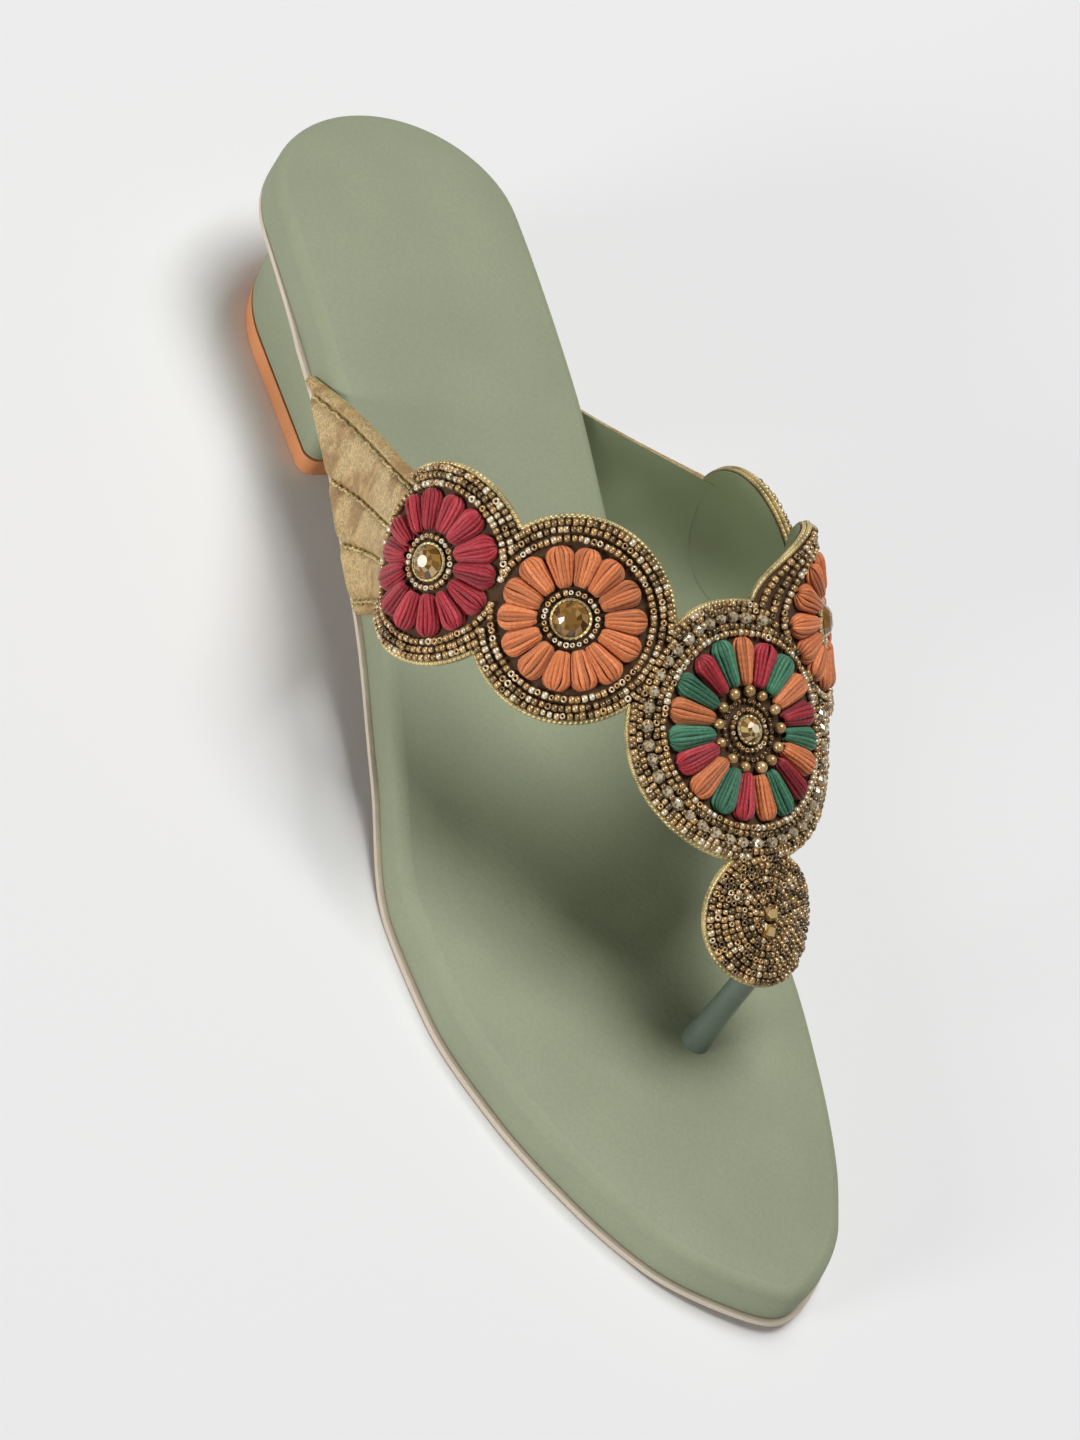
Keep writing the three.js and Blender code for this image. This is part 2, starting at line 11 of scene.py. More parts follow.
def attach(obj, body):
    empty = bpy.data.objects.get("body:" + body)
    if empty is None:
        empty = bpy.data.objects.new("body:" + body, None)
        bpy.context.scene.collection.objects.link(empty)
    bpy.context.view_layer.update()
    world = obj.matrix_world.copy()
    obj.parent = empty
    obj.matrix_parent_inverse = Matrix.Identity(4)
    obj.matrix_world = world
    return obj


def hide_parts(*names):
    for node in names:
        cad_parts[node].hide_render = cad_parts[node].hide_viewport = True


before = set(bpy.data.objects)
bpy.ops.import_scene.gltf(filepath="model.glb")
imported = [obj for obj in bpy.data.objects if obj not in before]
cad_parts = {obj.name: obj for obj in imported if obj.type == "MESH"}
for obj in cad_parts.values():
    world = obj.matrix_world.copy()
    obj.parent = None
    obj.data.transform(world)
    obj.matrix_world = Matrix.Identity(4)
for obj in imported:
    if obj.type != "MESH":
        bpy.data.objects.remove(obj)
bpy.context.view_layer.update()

bl_info = {
    "name": "Beaded toe-post sandal",
    "version": (1, 0, 0),
    "blender": (4, 5, 0),
    "location": "3D View > Sidebar > Sandal",
    "description": "Dresses a packed sandal in leather, thread flowers, beads and stones",
    "category": "Add Mesh",
}

MM = 0.001
TAU = 2 * math.pi


def length(name, millimetres, description):
    """A length property, given in millimetres and kept in metres."""
    return FloatProperty(
        name=name,
        description=description,
        default=millimetres * MM,
        min=0,
        unit="LENGTH",
        precision=4,
    )


def linear(red, green, blue):
    """A screen colour from 0 to 255 as the linear colour that shaders take."""
    shares = [value / 255 for value in (red, green, blue)]
    return tuple(v / 12.92 if v < 0.04045 else ((v + 0.055) / 1.055) ** 2.4 for v in shares)


def colour(name, screen, description):
    """A colour property, given as it looks on screen."""
    return FloatVectorProperty(
        name=name,
        description=description,
        default=linear(*screen),
        subtype="COLOR",
        size=3,
        min=0,
        max=1,
    )


class SandalSizes(bpy.types.PropertyGroup):
    """Sizes of the sandal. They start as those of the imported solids."""

    shoe_length: length("Shoe length", 248, "Sole from its back end to the toe")
    heel_width: length("Heel width", 55, "Sole across the heel")
    waist_width: length("Waist width", 56, "Sole across the arch")
    ball_width: length("Ball width", 77, "Sole across the ball of the foot")
    heel_height: length("Heel height", 20, "Floor to the outsole at the heel's front")
    heel_front: length("Heel front", 64, "Sole's back end to the heel's front face")
    strap_wall: length("Strap wall", 1.8, "Thickness of the strap")
    instep_height: length("Instep height", 51.5, "Floor to the lining of the middle medallion")
    bead_size: length("Bead size", 1.3, "Width of a seed bead")
    piping_size: length("Piping size", 0.9, "Width of the gold cord on the outline")
    petal_height: length("Petal height", 2.4, "Height of a thread petal over the strap")
    strands: IntProperty(
        name="Strands",
        description="Thread strands that lie side by side on one petal",
        default=8,
        min=3,
        max=12,
    )


class SandalColours(bpy.types.PropertyGroup):
    """Colours of the sandal's leathers, threads, beads and stones."""

    sage: colour("Sage leather", (151, 158, 130), "Footbed and heel cover")
    taupe: colour("Sole edge", (212, 198, 178), "Edge of the outsole")
    cream: colour("Sole underside", (226, 211, 190), "Underside of the outsole")
    lift: colour("Top lift", (224, 150, 98), "Rubber under the heel")
    gold: colour("Gold leather", (207, 178, 124), "Arms of the strap")
    patch: colour("Worn patches", (146, 108, 62), "Brown patches on the gold leather")
    lining: colour("Lining", (176, 186, 150), "Inside of the strap")
    ground: colour("Bead ground", (74, 52, 32), "Cloth that the beads are sewn on")
    crimson: colour("Crimson thread", (172, 40, 52), "Outer flowers")
    orange: colour("Orange thread", (220, 128, 75), "Second flowers")
    green: colour("Green thread", (68, 130, 98), "Petals of the middle flower")
    bronze: colour("Bronze beads", (176, 142, 92), "Seed beads")
    piping: colour("Piping", (216, 194, 136), "Gold cord")
    amber: colour("Amber stones", (176, 128, 60), "Set stones")
    post: colour("Toe post", (98, 112, 100), "Glossy toe post")


class Curve:
    """A smooth line through rows of values that never overshoots them."""

    def __init__(self, places, values):
        self.places = np.array(places, float)
        self.values = np.array(values, float)
        slopes = np.diff(self.values) / np.diff(self.places)
        before, after = slopes[:-1], slopes[1:]
        total = np.where(before + after == 0, 1, before + after)
        middle = np.where(before * after > 0, 2 * before * after / total, 0)
        self.tangents = np.concatenate([slopes[:1], middle, slopes[-1:]])

    def __call__(self, place):
        last = len(self.places) - 2
        i = np.clip(np.searchsorted(self.places, place) - 1, 0, last)
        span = self.places[i + 1] - self.places[i]
        t = np.clip((place - self.places[i]) / span, 0, 1)
        s = 1 - t
        ends = s * s * (1 + 2 * t) * self.values[i] + t * t * (1 + 2 * s) * self.values[i + 1]
        return ends + span * t * s * (s * self.tangents[i] - t * self.tangents[i + 1])


# Rows of the sole: a share of its length, a share of the named width, and the bend inwards.
SOLE_ROWS = (
    (0, "heel_width", 0.98, 0.015),
    (0.14, "heel_width", 1, 0.017),
    (0.27, "heel_width", 1, 0.023),
    (0.4, "waist_width", 1, 0.008),
    (0.55, "ball_width", 0.86, 0.016),
    (0.665, "ball_width", 1, 0.03),
    (0.738, "ball_width", 0.975, 0.034),
    (0.818, "ball_width", 0.865, 0.055),
    (0.899, "ball_width", 0.67, 0.093),
    (0.963, "ball_width", 0.425, 0.125),
    (1, "ball_width", 0.26, 0.143),
)
# Rows of the underside: a share of the length, and the height as a share of the heel's.
HEIGHT_ROWS = (
    (0, 1.25),
    (0.13, 1.18),
    (0.254, 1),
    (0.395, 0.66),
    (0.536, 0.28),
    (0.664, 0),
    (0.921, 0),
    (1, 0.08),
)
HEEL_ROUND = 25 * MM
TOE_ROUND = 14 * MM
OUTSOLE_THICKNESS = 1.3 * MM
FOOTBED_THICKNESS = 7.9 * MM
FOOTBED_MARGIN = 1.1 * MM
FOOTBED_ROUND = 2.8 * MM
FOOTBED_CROWN = 0.5 * MM
CROWN_REACH = 9 * MM
RIM_TUCK = 50 * MM
CLEARANCE = 0.3 * MM
FOOTBED_TOP = OUTSOLE_THICKNESS + CLEARANCE + FOOTBED_THICKNESS
HEEL_INSET = 4.7 * MM
HEEL_BACK_INSET = 5.5 * MM
HEEL_BACK_RAKE = 4 * MM
HEEL_SIDE_RAKE = 0.8 * MM
HEEL_CORNER = 2.8 * MM
LIFT_THICKNESS = 4.2 * MM


def end_round(distance, round_length):
    """The share of the full width that is left near a rounded end."""
    t = np.clip(1 - distance / round_length, 0, 1)
    return np.sqrt(1 - t * t)


class Sole:
    """The sole's outline and the height of its underside, both by distance from its back end."""

    def __init__(self, sizes):
        self.sizes = sizes
        self.length = sizes.shoe_length
        places = [row[0] * self.length for row in SOLE_ROWS]
        self.width = Curve(places, [getattr(sizes, row[1]) * row[2] for row in SOLE_ROWS])
        self.middle = Curve(places, [row[3] * sizes.ball_width for row in SOLE_ROWS])
        self.underside = Curve(
            [place * self.length for place, _ in HEIGHT_ROWS],
            [share * sizes.heel_height for _, share in HEIGHT_ROWS],
        )
        self.origin = (sizes.heel_front + HEEL_BACK_INSET + HEEL_BACK_RAKE) / 2

    def half_width(self, along):
        rounds = end_round(along, HEEL_ROUND) * end_round(self.length - along, TOE_ROUND)
        return 0.5 * self.width(along) * rounds

    def at(self, across, along, up):
        """Points in the sandal's frame."""
        return np.stack(np.broadcast_arrays(across, self.origin - along, up), axis=-1)

    def edge(self, turn):
        """The outline as across and along. The toe is at a half turn."""
        along = 0.5 * self.length * (1 - np.cos(turn))
        half = np.sign(np.sin(turn)) * self.half_width(along)
        return np.stack([self.middle(along) + half, along], axis=-1)

    def inset(self, turn, inset):
        """The outline moved in, square to the edge."""
        step = 0.01
        way = self.edge(turn + step) - self.edge(turn - step)
        way /= np.linalg.norm(way, axis=-1, keepdims=True)
        return self.edge(turn) + np.stack([-way[:, 1], way[:, 0]], axis=-1) * np.reshape(inset, (-1, 1))

    def level(self, inset, height_over, steps, tuck=0.0):
        """Left and right points of each station, at a height over the underside."""
        sides = []
        for side in (-1, 1):
            turn = side * np.linspace(0, math.pi, steps + 1)
            tucked = np.clip(1 - self.edge(turn)[:, 1] / RIM_TUCK, 0, 1)
            spot = self.inset(turn, inset + tuck * np.sqrt(tucked))
            up = self.underside(np.clip(spot[:, 1], 0, self.length)) + height_over
            sides.append(self.at(spot[:, 0], spot[:, 1], up))
        return np.stack(sides, axis=1)


class Shape:
    """Points and faces gathered for one mesh. Each point has a tone and a thread mark."""

    def __init__(self):
        self.points = []
        self.tones = []
        self.marks = []
        self.faces = []
        self.finishes = []
        self.count = 0

    def add(self, points, faces, finish=0, tone=0.5, mark=None):
        """Adds a block of points with its faces, whose corners count from the block's start."""
        points = np.asarray(points, float).reshape(-1, 3)
        number = len(points)
        self.points.append(points)
        self.tones.append(np.broadcast_to(tone, (number,)).astype(float))
        self.marks.append(np.zeros((number, 3)) if mark is None else np.reshape(mark, (number, 3)))
        self.faces += [tuple(int(corner) + self.count for corner in face) for face in faces]
        self.finishes += [finish] * len(faces)
        self.count += number

    def grid(self, points, finish=0, tone=0.5, mark=None, loop_rows=False, loop_columns=False):
        """Adds a sheet of points with rows and columns. A loop joins its last line to its first."""
        rows, columns = points.shape[:2]
        faces = []
        for i in range(rows if loop_rows else rows - 1):
            for j in range(columns if loop_columns else columns - 1):
                i2, j2 = (i + 1) % rows, (j + 1) % columns
                faces.append((i * columns + j, i * columns + j2, i2 * columns + j2, i2 * columns + j))
        self.add(points, faces, finish, tone, mark)

    def copies(self, points, faces, places, axes, tones, finish=0):
        """Adds one small block at each place, turned to that place's three axes."""
        placed = places[:, None, :] + np.einsum("pk,nkj->npj", points, axes)
        number = len(points)
        every = [[corner + n * number for corner in face] for n in range(len(places)) for face in faces]
        self.add(placed, every, finish, np.repeat(tones, number))

    def build(self, name, materials, smooth_angle=40):
        """Makes the object, with its faces turned outwards."""
        mesh = bpy.data.meshes.new(name)
        points = np.concatenate(self.points)
        mesh.from_pydata(points.tolist(), [], self.faces)
        for material in materials:
            mesh.materials.append(material)
        mesh.polygons.foreach_set("material_index", self.finishes)
        tone = mesh.attributes.new("tone", "FLOAT", "POINT")
        tone.data.foreach_set("value", np.concatenate(self.tones))
        mark = mesh.attributes.new("mark", "FLOAT_VECTOR", "POINT")
        mark.data.foreach_set("vector", np.concatenate(self.marks).ravel())
        mesh.validate()
        mesh.shade_smooth()
        mesh.set_sharp_from_angle(angle=math.radians(smooth_angle))
        piece = bpy.data.objects.new(name, mesh)
        bpy.context.collection.objects.link(piece)
        return piece


def unit(vectors):
    return vectors / np.linalg.norm(vectors, axis=-1, keepdims=True)


# Rows of the strap's middle lines: across and along as shares of the ball width and the length,
# up as a share of the instep height, then how far the front edge leans out and falls.
STRAP_ROWS = {
    "red_outer": (-0.413, 0.481, 0.932, -0.428, 1.445),
    "orange_outer": (-0.213, 0.557, 1.112, -0.593, 1.112),
    "centre": (0.17, 0.64, 1, 0.011, 0.49),
    "orange_inner": (0.448, 0.558, 1.07, 0.44, 1.2),
    "red_inner": (0.53, 0.457, 0.757, 0.563, 1.36),
}
DISC_RADIUS = {"red": 17.8 * MM, "orange": 18 * MM, "centre": 23.2 * MM, "drop": 12.2 * MM}
PETAL_RADIUS = {"red": 12.8 * MM, "orange": 12.7 * MM, "centre": 16.2 * MM}
HUB_RADIUS = {"red": 5.5 * MM, "orange": 5.5 * MM, "centre": 7.7 * MM}
DISC_REACH = 1.12
DROP_DISTANCE = 32.1 * MM
NOSE_REACH = DROP_DISTANCE + 1.3 * DISC_RADIUS["drop"]
NOSE_START = 22 * MM
NOSE_DROP = 4 * MM
STRAP_FOOT_INSET = 0.7 * MM
STRAP_FOOT_BACK = {-1: 58.5 * MM, 1: 64 * MM}
STRAP_FOOT_WIDTH = {-1: 47.5 * MM, 1: 47 * MM}
STRAP_FOOT_LIFT = 1 * MM
STRAP_RAKE = 9.5 * MM
NECK_WIDTH = {"red_outer": 23 * MM, "red_inner": 30 * MM}
NECK_FORWARD = {"red_outer": 0.0, "red_inner": 2.5 * MM}
ARM_END = 14.8 * MM


class Strap:
    """The strap's lining as a smooth sheet through lines that cross it, and its outer face."""

    def __init__(self, sizes, sole):
        self.sizes = sizes
        self.sole = sole
        foot = OUTSOLE_THICKNESS + STRAP_FOOT_LIFT
        self.lines = [
            self.foot_line(-1, 0, foot),
            self.foot_line(-1, STRAP_RAKE, FOOTBED_TOP + CLEARANCE),
            *(self.medallion_line(name) for name in STRAP_ROWS),
            self.foot_line(1, 0, foot),
        ]
        middles = np.concatenate([line(np.zeros(1)) for line in self.lines])
        steps = np.linalg.norm(np.diff(middles, axis=0), axis=1)
        self.knots = np.concatenate([[0], np.cumsum(steps)])

    def foot_line(self, side, forward, height_over):
        def line(cross):
            along = STRAP_FOOT_BACK[side] + 0.5 * STRAP_FOOT_WIDTH[side] * (cross + 1) + forward
            edge = self.sole.half_width(along) - STRAP_FOOT_INSET
            across = self.sole.middle(along) + side * edge
            return self.sole.at(across, along, self.sole.underside(along) + height_over)

        return line

    def medallion_line(self, name):
        across, along, up, lean, fall = STRAP_ROWS[name]
        sizes = self.sizes
        middle = self.sole.at(across * sizes.ball_width, along * self.sole.length, up * sizes.instep_height)
        front = unit(np.array([lean, -1, -fall]))
        outward = unit(np.array([0, -fall, 1]))
        back_reach = DISC_REACH * DISC_RADIUS[name.split("_")[0]]
        nose = name == "centre"
        front_reach = NOSE_REACH if nose else back_reach

        def line(cross):
            reach = cross * np.where(cross < 0, back_reach, front_reach)
            bend = nose * NOSE_DROP * (np.maximum(0, reach - NOSE_START) / (NOSE_REACH - NOSE_START)) ** 2
            return middle + reach[:, None] * front - bend[:, None] * outward

        return line

    def lining(self, long, cross):
        """Points of the lining. Long is metres along the strap, cross -1 at the back and 1 in front."""
        rows = np.array([line(cross) for line in self.lines])
        gaps = np.diff(self.knots)[:, None, None]
        slopes = (rows[1:] - rows[:-1]) / gaps
        inner = (slopes[:-1] * gaps[1:] + slopes[1:] * gaps[:-1]) / (gaps[:-1] + gaps[1:])
        tangents = np.concatenate([slopes[:1], inner, slopes[-1:]])
        i = np.clip(np.searchsorted(self.knots, long) - 1, 0, len(self.knots) - 2)
        every = np.arange(len(long))
        span = (self.knots[i + 1] - self.knots[i])[:, None]
        t = np.clip((long - self.knots[i])[:, None] / span, 0, 1)
        s = 1 - t
        ends = s * s * (1 + 2 * t) * rows[i, every] + t * t * (1 + 2 * s) * rows[i + 1, every]
        bend = s * tangents[i, every] - t * tangents[i + 1, every]
        return ends + span * t * s * bend

    def ways(self, long, cross):
        """Unit directions along the strap and out of it."""
        step = 0.02 * MM
        inside = np.clip(long, step, self.knots[-1] - step)
        along_way = self.lining(inside + step, cross) - self.lining(inside - step, cross)
        cross_way = self.lining(long, cross + 0.02) - self.lining(long, cross - 0.02)
        return unit(along_way), unit(np.cross(cross_way, along_way))

    def point(self, long, cross, lift):
        _, outward = self.ways(long, cross)
        return self.lining(long, cross) + outward * np.reshape(lift, (-1, 1))


class Place:
    """A spot with flat axes. It finds points of the strap from flat offsets and a lift over the wall."""

    def __init__(self, strap, long, cross, middle=None, axes=None):
        self.strap = strap
        self.long = long
        self.cross = cross
        self.wall = strap.sizes.strap_wall
        one = np.ones(1)
        way, outward = strap.ways(long * one, cross * one)
        front = unit(np.cross(way, outward))
        found = strap.point(long * one, cross * one, self.wall)[0]
        self.middle = found if middle is None else middle
        self.axes = np.array([way[0], front[0], outward[0]]) if axes is None else axes

    def flat(self, points):
        return (points - self.middle) @ self.axes[:2].T

    def guess(self, target):
        """Where the search for the strap's own coordinates begins."""
        return np.full(len(target), float(self.long)), np.full(len(target), float(self.cross))

    def find(self, x, y):
        """The strap's own coordinates under flat offsets, by Newton's method."""
        x, y = np.broadcast_arrays(np.asarray(x, float), np.asarray(y, float))
        shape = x.shape
        target = np.stack([x.ravel(), y.ravel()], axis=-1)
        long, cross = self.guess(target)
        # Near the strap's last end the trial step goes inwards, as the sheet stops there.
        end = self.strap.knots[-1]
        cross_step = 0.002
        for _ in range(6):
            here = self.flat(self.strap.point(long, cross, self.wall))
            long_step = np.where(long > end - 0.2 * MM, -0.05, 0.05) * MM
            beside = self.flat(self.strap.point(long + long_step, cross, self.wall))
            by_long = (beside - here) / long_step[:, None]
            by_cross = (self.flat(self.strap.point(long, cross + cross_step, self.wall)) - here) / cross_step
            a, c = by_long.T
            b, d = by_cross.T
            miss_x, miss_y = (target - here).T
            scale = 1 / (a * d - b * c)
            long = np.clip(long + scale * (d * miss_x - b * miss_y), 0, end)
            cross = np.clip(cross + scale * (a * miss_y - c * miss_x), -1.6, 1.6)
        return long.reshape(shape), cross.reshape(shape)

    def on(self, x, y, lift):
        """Points over the strap's outer face."""
        long, cross = self.find(x, y)
        shape = long.shape
        lifts = np.broadcast_to(lift, shape).ravel() + self.wall
        return self.strap.point(long.ravel(), cross.ravel(), lifts).reshape(*shape, 3)

    def axes_at(self, x, y):
        """Points on the outer face, with unit axes round the middle, away from it and out of the strap."""
        long, cross = self.find(x, y)
        outward = self.strap.ways(long, cross)[1]
        points = self.strap.point(long, cross, self.wall)
        away = unit(x[:, None] * self.axes[0] + y[:, None] * self.axes[1] + 1e-9)
        away = unit(away - outward * np.sum(away * outward, axis=1, keepdims=True))
        return points, np.stack([np.cross(outward, away), away, outward], axis=1)


class Disc(Place):
    """A medallion: a round place that may run into its neighbours."""

    def __init__(self, strap, name, long, cross, kind):
        super().__init__(strap, long, cross)
        self.name = name
        self.kind = kind
        self.radius = DISC_RADIUS[kind]
        self.neighbours = []

    def depth(self, points):
        """How far points lie inside the disc's rim."""
        return self.radius - np.linalg.norm(self.flat(points), axis=-1)

    def room(self, x, y):
        """How much deeper points lie in this disc than in its neighbours."""
        points = self.on(x, y, 0)
        others = np.max([other.depth(points) for other in self.neighbours], axis=0)
        return self.depth(points) - others


class Arm(Place):
    """An arm of the strap, from its foot on the sole to its first medallion."""

    def __init__(self, strap, red, side):
        line = strap.lines[0] if side < 0 else strap.lines[-1]
        corners = line(np.array([-1.0, 1.0]))
        necks = []
        for cross in (-1, 1):
            y = NECK_FORWARD[red.name] + 0.5 * NECK_WIDTH[red.name] * cross
            aside = side * math.sqrt(max(0, red.radius**2 - y**2))
            necks.append(red.middle + aside * red.axes[0] + y * red.axes[1])
        outward = unit(red.axes[2] + np.array([side, 0, 0]))
        right = unit(np.cross([0, -1, 0], outward))
        axes = np.array([right, np.cross(outward, right), outward])
        start = 0.5 * (strap.knots[1] if side < 0 else strap.knots[-2] + strap.knots[-1])
        super().__init__(strap, start, 0, corners.mean(axis=0), axes)
        self.name = "outer" if side < 0 else "inner"
        self.feet = self.flat(corners)
        self.necks = self.flat(np.array(necks))
        self.red = red
        self.side = side

    def guess(self, target):
        """A first guess between the foot and the medallion."""
        foot, neck = np.mean(self.feet, axis=0), np.mean(self.necks, axis=0)
        way = neck - foot
        share = np.clip((target - foot) @ way / (way @ way), 0.02, 1)
        half = 0.5 * np.linalg.norm(self.feet[1] - self.feet[0])
        over = np.cross(way, target - foot) / np.linalg.norm(way)
        ahead = np.sign(np.cross(way, self.feet[1] - self.feet[0]))
        foot_long = 0 if self.side < 0 else self.strap.knots[-1]
        return foot_long + (self.red.long - foot_long) * share, np.clip(ahead * over / half, -1, 1)

    def spot(self, share, cross):
        """Flat offsets at a share of the way from the foot into the medallion, and across from -1 to 1."""
        share, cross = np.broadcast_arrays(share, np.asarray(cross, float))
        foot = self.feet[0] + (self.feet[1] - self.feet[0]) * (0.5 * (cross + 1))[..., None]
        y = NECK_FORWARD[self.red.name] + 0.5 * NECK_WIDTH[self.red.name] * cross
        end = self.flat(self.red.on(self.side * np.sqrt(np.maximum(0, ARM_END**2 - y**2)), y, 0))
        spot = foot + (end - foot) * share[..., None]
        return spot[..., 0], spot[..., 1]

    def covers(self, points):
        """Whether points lie between the arm's two edges, on its side of the medallion."""
        flat = self.flat(points)
        turns = []
        for foot, neck in zip(self.feet, self.necks):
            turns.append(np.cross(neck - foot, flat - foot))
        beside = self.red.flat(points)[..., 0] * self.side > 0
        return (turns[0] * turns[1] < 0) & beside


class Model:
    """The sole, the strap and its medallions, worked out once from the sizes."""

    def __init__(self, sizes):
        self.sizes = sizes
        self.sole = Sole(sizes)
        self.strap = Strap(sizes, self.sole)
        self.discs = {}
        for place, name in enumerate(STRAP_ROWS):
            kind = name.split("_")[0]
            self.discs[name] = Disc(self.strap, name, self.strap.knots[place + 2], 0, kind)
        centre = self.discs["centre"]
        drop_cross = DROP_DISTANCE / NOSE_REACH
        self.discs["drop"] = Disc(self.strap, "drop", centre.long, drop_cross, "drop")
        order = list(STRAP_ROWS)
        for first, second in [*zip(order, order[1:]), ("centre", "drop")]:
            self.discs[first].neighbours.append(self.discs[second])
            self.discs[second].neighbours.append(self.discs[first])
        self.arms = [Arm(self.strap, self.discs["red_outer"], -1), Arm(self.strap, self.discs["red_inner"], 1)]

    def free(self, disc, x, y, room=0.0, arm=ARM_END):
        """Which offsets on a disc lie clear of its neighbours, and of the arm beyond the arm's end."""
        points = disc.on(x, y, 0)
        clear = disc.room(x, y) > room
        for side in self.arms:
            if side.red is disc:
                clear &= ~(side.covers(points) & (np.hypot(x, y) > arm))
        return clear


def model():
    """The model for the scene's present sizes."""
    return Model(bpy.context.scene.sandal_sizes)


class Socket:
    """A node's output in a shader expression, so that 1 - mask adds the Math node it needs."""

    def __init__(self, paint, output):
        self.paint = paint
        self.output = output

    def __getitem__(self, name):
        return Socket(self.paint, self.output.node.outputs[name])

    def math(self, operation, *values):
        return self.paint.node("ShaderNodeMath", {"operation": operation}, dict(enumerate(values)))

    def __add__(self, other):
        return self.math("ADD", self, other)

    def __radd__(self, other):
        return self.math("ADD", other, self)

    def __sub__(self, other):
        return self.math("SUBTRACT", self, other)

    def __rsub__(self, other):
        return self.math("SUBTRACT", other, self)

    def __mul__(self, other):
        return self.math("MULTIPLY", self, other)

    def __rmul__(self, other):
        return self.math("MULTIPLY", other, self)

    def __pow__(self, other):
        return self.math("POWER", self, other)


class Paint:
    """A material under construction."""

    def __init__(self, name):
        self.material = bpy.data.materials.new(name)
        self.material.use_nodes = True
        self.tree = self.material.node_tree
        self.shader = self.tree.nodes["Principled BSDF"]

    def node(self, kind, settings, inputs, output=0):
        """Adds a node: its settings first, then the values or links of its sockets."""
        node = self.tree.nodes.new(kind)
        for name, value in settings.items():
            if name == "stops":
                for place, stop in enumerate(value):
                    ramp = node.color_ramp.elements
                    element = ramp[place] if place < len(ramp) else ramp.new(stop[0])
                    element.position = stop[0]
                    element.color = (*stop[1], 1)
            else:
                setattr(node, name, value)
        for name, value in inputs.items():
            self.join(node.inputs[name], value)
        return Socket(self, node.outputs[output])

    def join(self, socket, value):
        if isinstance(value, Socket):
            self.tree.links.new(value.output, socket)
        else:
            socket.default_value = value

    def place(self):
        return self.node("ShaderNodeTexCoord", {}, {}, "Object")

    def noise(self, scale, detail=3, roughness=0.5, vector=None):
        inputs = {"Vector": vector or self.place(), "Scale": scale, "Detail": detail, "Roughness": roughness}
        return self.node("ShaderNodeTexNoise", {}, inputs)

    def cells(self, scale, feature="F1", output="Distance"):
        inputs = {"Vector": self.place(), "Scale": scale}
        return self.node("ShaderNodeTexVoronoi", {"feature": feature}, inputs, output)

    def attribute(self, name, output="Fac"):
        return self.node("ShaderNodeAttribute", {"attribute_name": name}, {}, output)

    def mask(self, value, low, high):
        """A number that goes from 0 at low to 1 at high."""
        inputs = {"Value": value, "From Min": low, "From Max": high}
        return self.node("ShaderNodeMapRange", {"interpolation_type": "SMOOTHSTEP"}, inputs)

    def mix(self, share, first, second, blend="MIX"):
        """A mix of two colours."""
        full = [(*value, 1) if isinstance(value, tuple) else value for value in (first, second)]
        settings = {"data_type": "RGBA", "blend_type": blend}
        return self.node("ShaderNodeMix", settings, {0: share, 6: full[0], 7: full[1]}, 2)

    def bump(self, height, distance, strength=1.0, normal=None):
        inputs = {"Height": height, "Distance": distance, "Strength": strength}
        if normal:
            inputs["Normal"] = normal
        return self.node("ShaderNodeBump", {}, inputs)

    def finish(self, **inputs):
        """Sets the shader's own sockets, by their names with underscores for spaces."""
        for name, value in inputs.items():
            value = (*value, 1) if isinstance(value, tuple) else value
            self.join(self.shader.inputs[name.replace("_", " ")], value)
        return self.material


def tinted(name, share=1.0):
    """One of the scene's colours, darkened or lightened by a share."""
    return tuple(min(1, share * value) for value in getattr(bpy.context.scene.sandal_colours, name))


def kept(make):
    """A material that is made once, on its first use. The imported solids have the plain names."""
    name = make.__name__ + "_paint"

    def get():
        return bpy.data.materials.get(name) or make(Paint(name))

    return get


@kept
def sage_leather(paint):
    """Fine matt leather, a little uneven in tone."""
    cloud = paint.noise(28, 2)
    grain = paint.noise(1500, 3, 0.7)
    pebble = paint.cells(900)
    tone = paint.mix(paint.mask(cloud, 0.3, 0.7), tinted("sage", 0.93), tinted("sage", 1.05))
    tone = paint.mix(paint.mask(grain, 0.3, 0.7) * 0.22, tone, tinted("sage", 0.7))
    height = grain * 0.6 + pebble * 0.5
    return paint.finish(
        Base_Color=tone,
        Roughness=0.56 + 0.12 * grain,
        Specular_IOR_Level=0.35,
        Normal=paint.bump(height, 0.00012, 0.5),
    )


@kept
def sole_edge(paint):
    """Taupe edge, sanded along its length."""
    layers = paint.node("ShaderNodeVectorMath", {"operation": "MULTIPLY"}, {0: paint.place(), 1: (60, 60, 2500)})
    streak = paint.noise(1, 3, 0.6, layers)
    tone = paint.mix(streak, tinted("taupe", 0.82), tinted("taupe", 1.15))
    return paint.finish(Base_Color=tone, Roughness=0.7, Normal=paint.bump(streak, 0.00015, 0.6))


@kept
def sole_underside(paint):
    """Cream rubber with a fine pebbled tread."""
    pebble = paint.cells(420)
    cloud = paint.noise(40, 3)
    tone = paint.mix(paint.mask(cloud, 0.35, 0.65), tinted("cream", 0.93), tinted("cream", 1.03))
    return paint.finish(Base_Color=tone, Roughness=0.75, Normal=paint.bump(pebble, 0.0003, 0.7))


@kept
def lift_rubber(paint):
    """Orange rubber with a fine tooth."""
    grain = paint.noise(900, 4, 0.7)
    cloud = paint.noise(60, 2)
    tone = paint.mix(paint.mask(cloud, 0.3, 0.7), tinted("lift", 0.88), tinted("lift", 1.1))
    return paint.finish(Base_Color=tone, Roughness=0.5 + 0.2 * grain, Normal=paint.bump(grain, 0.0001, 0.6))


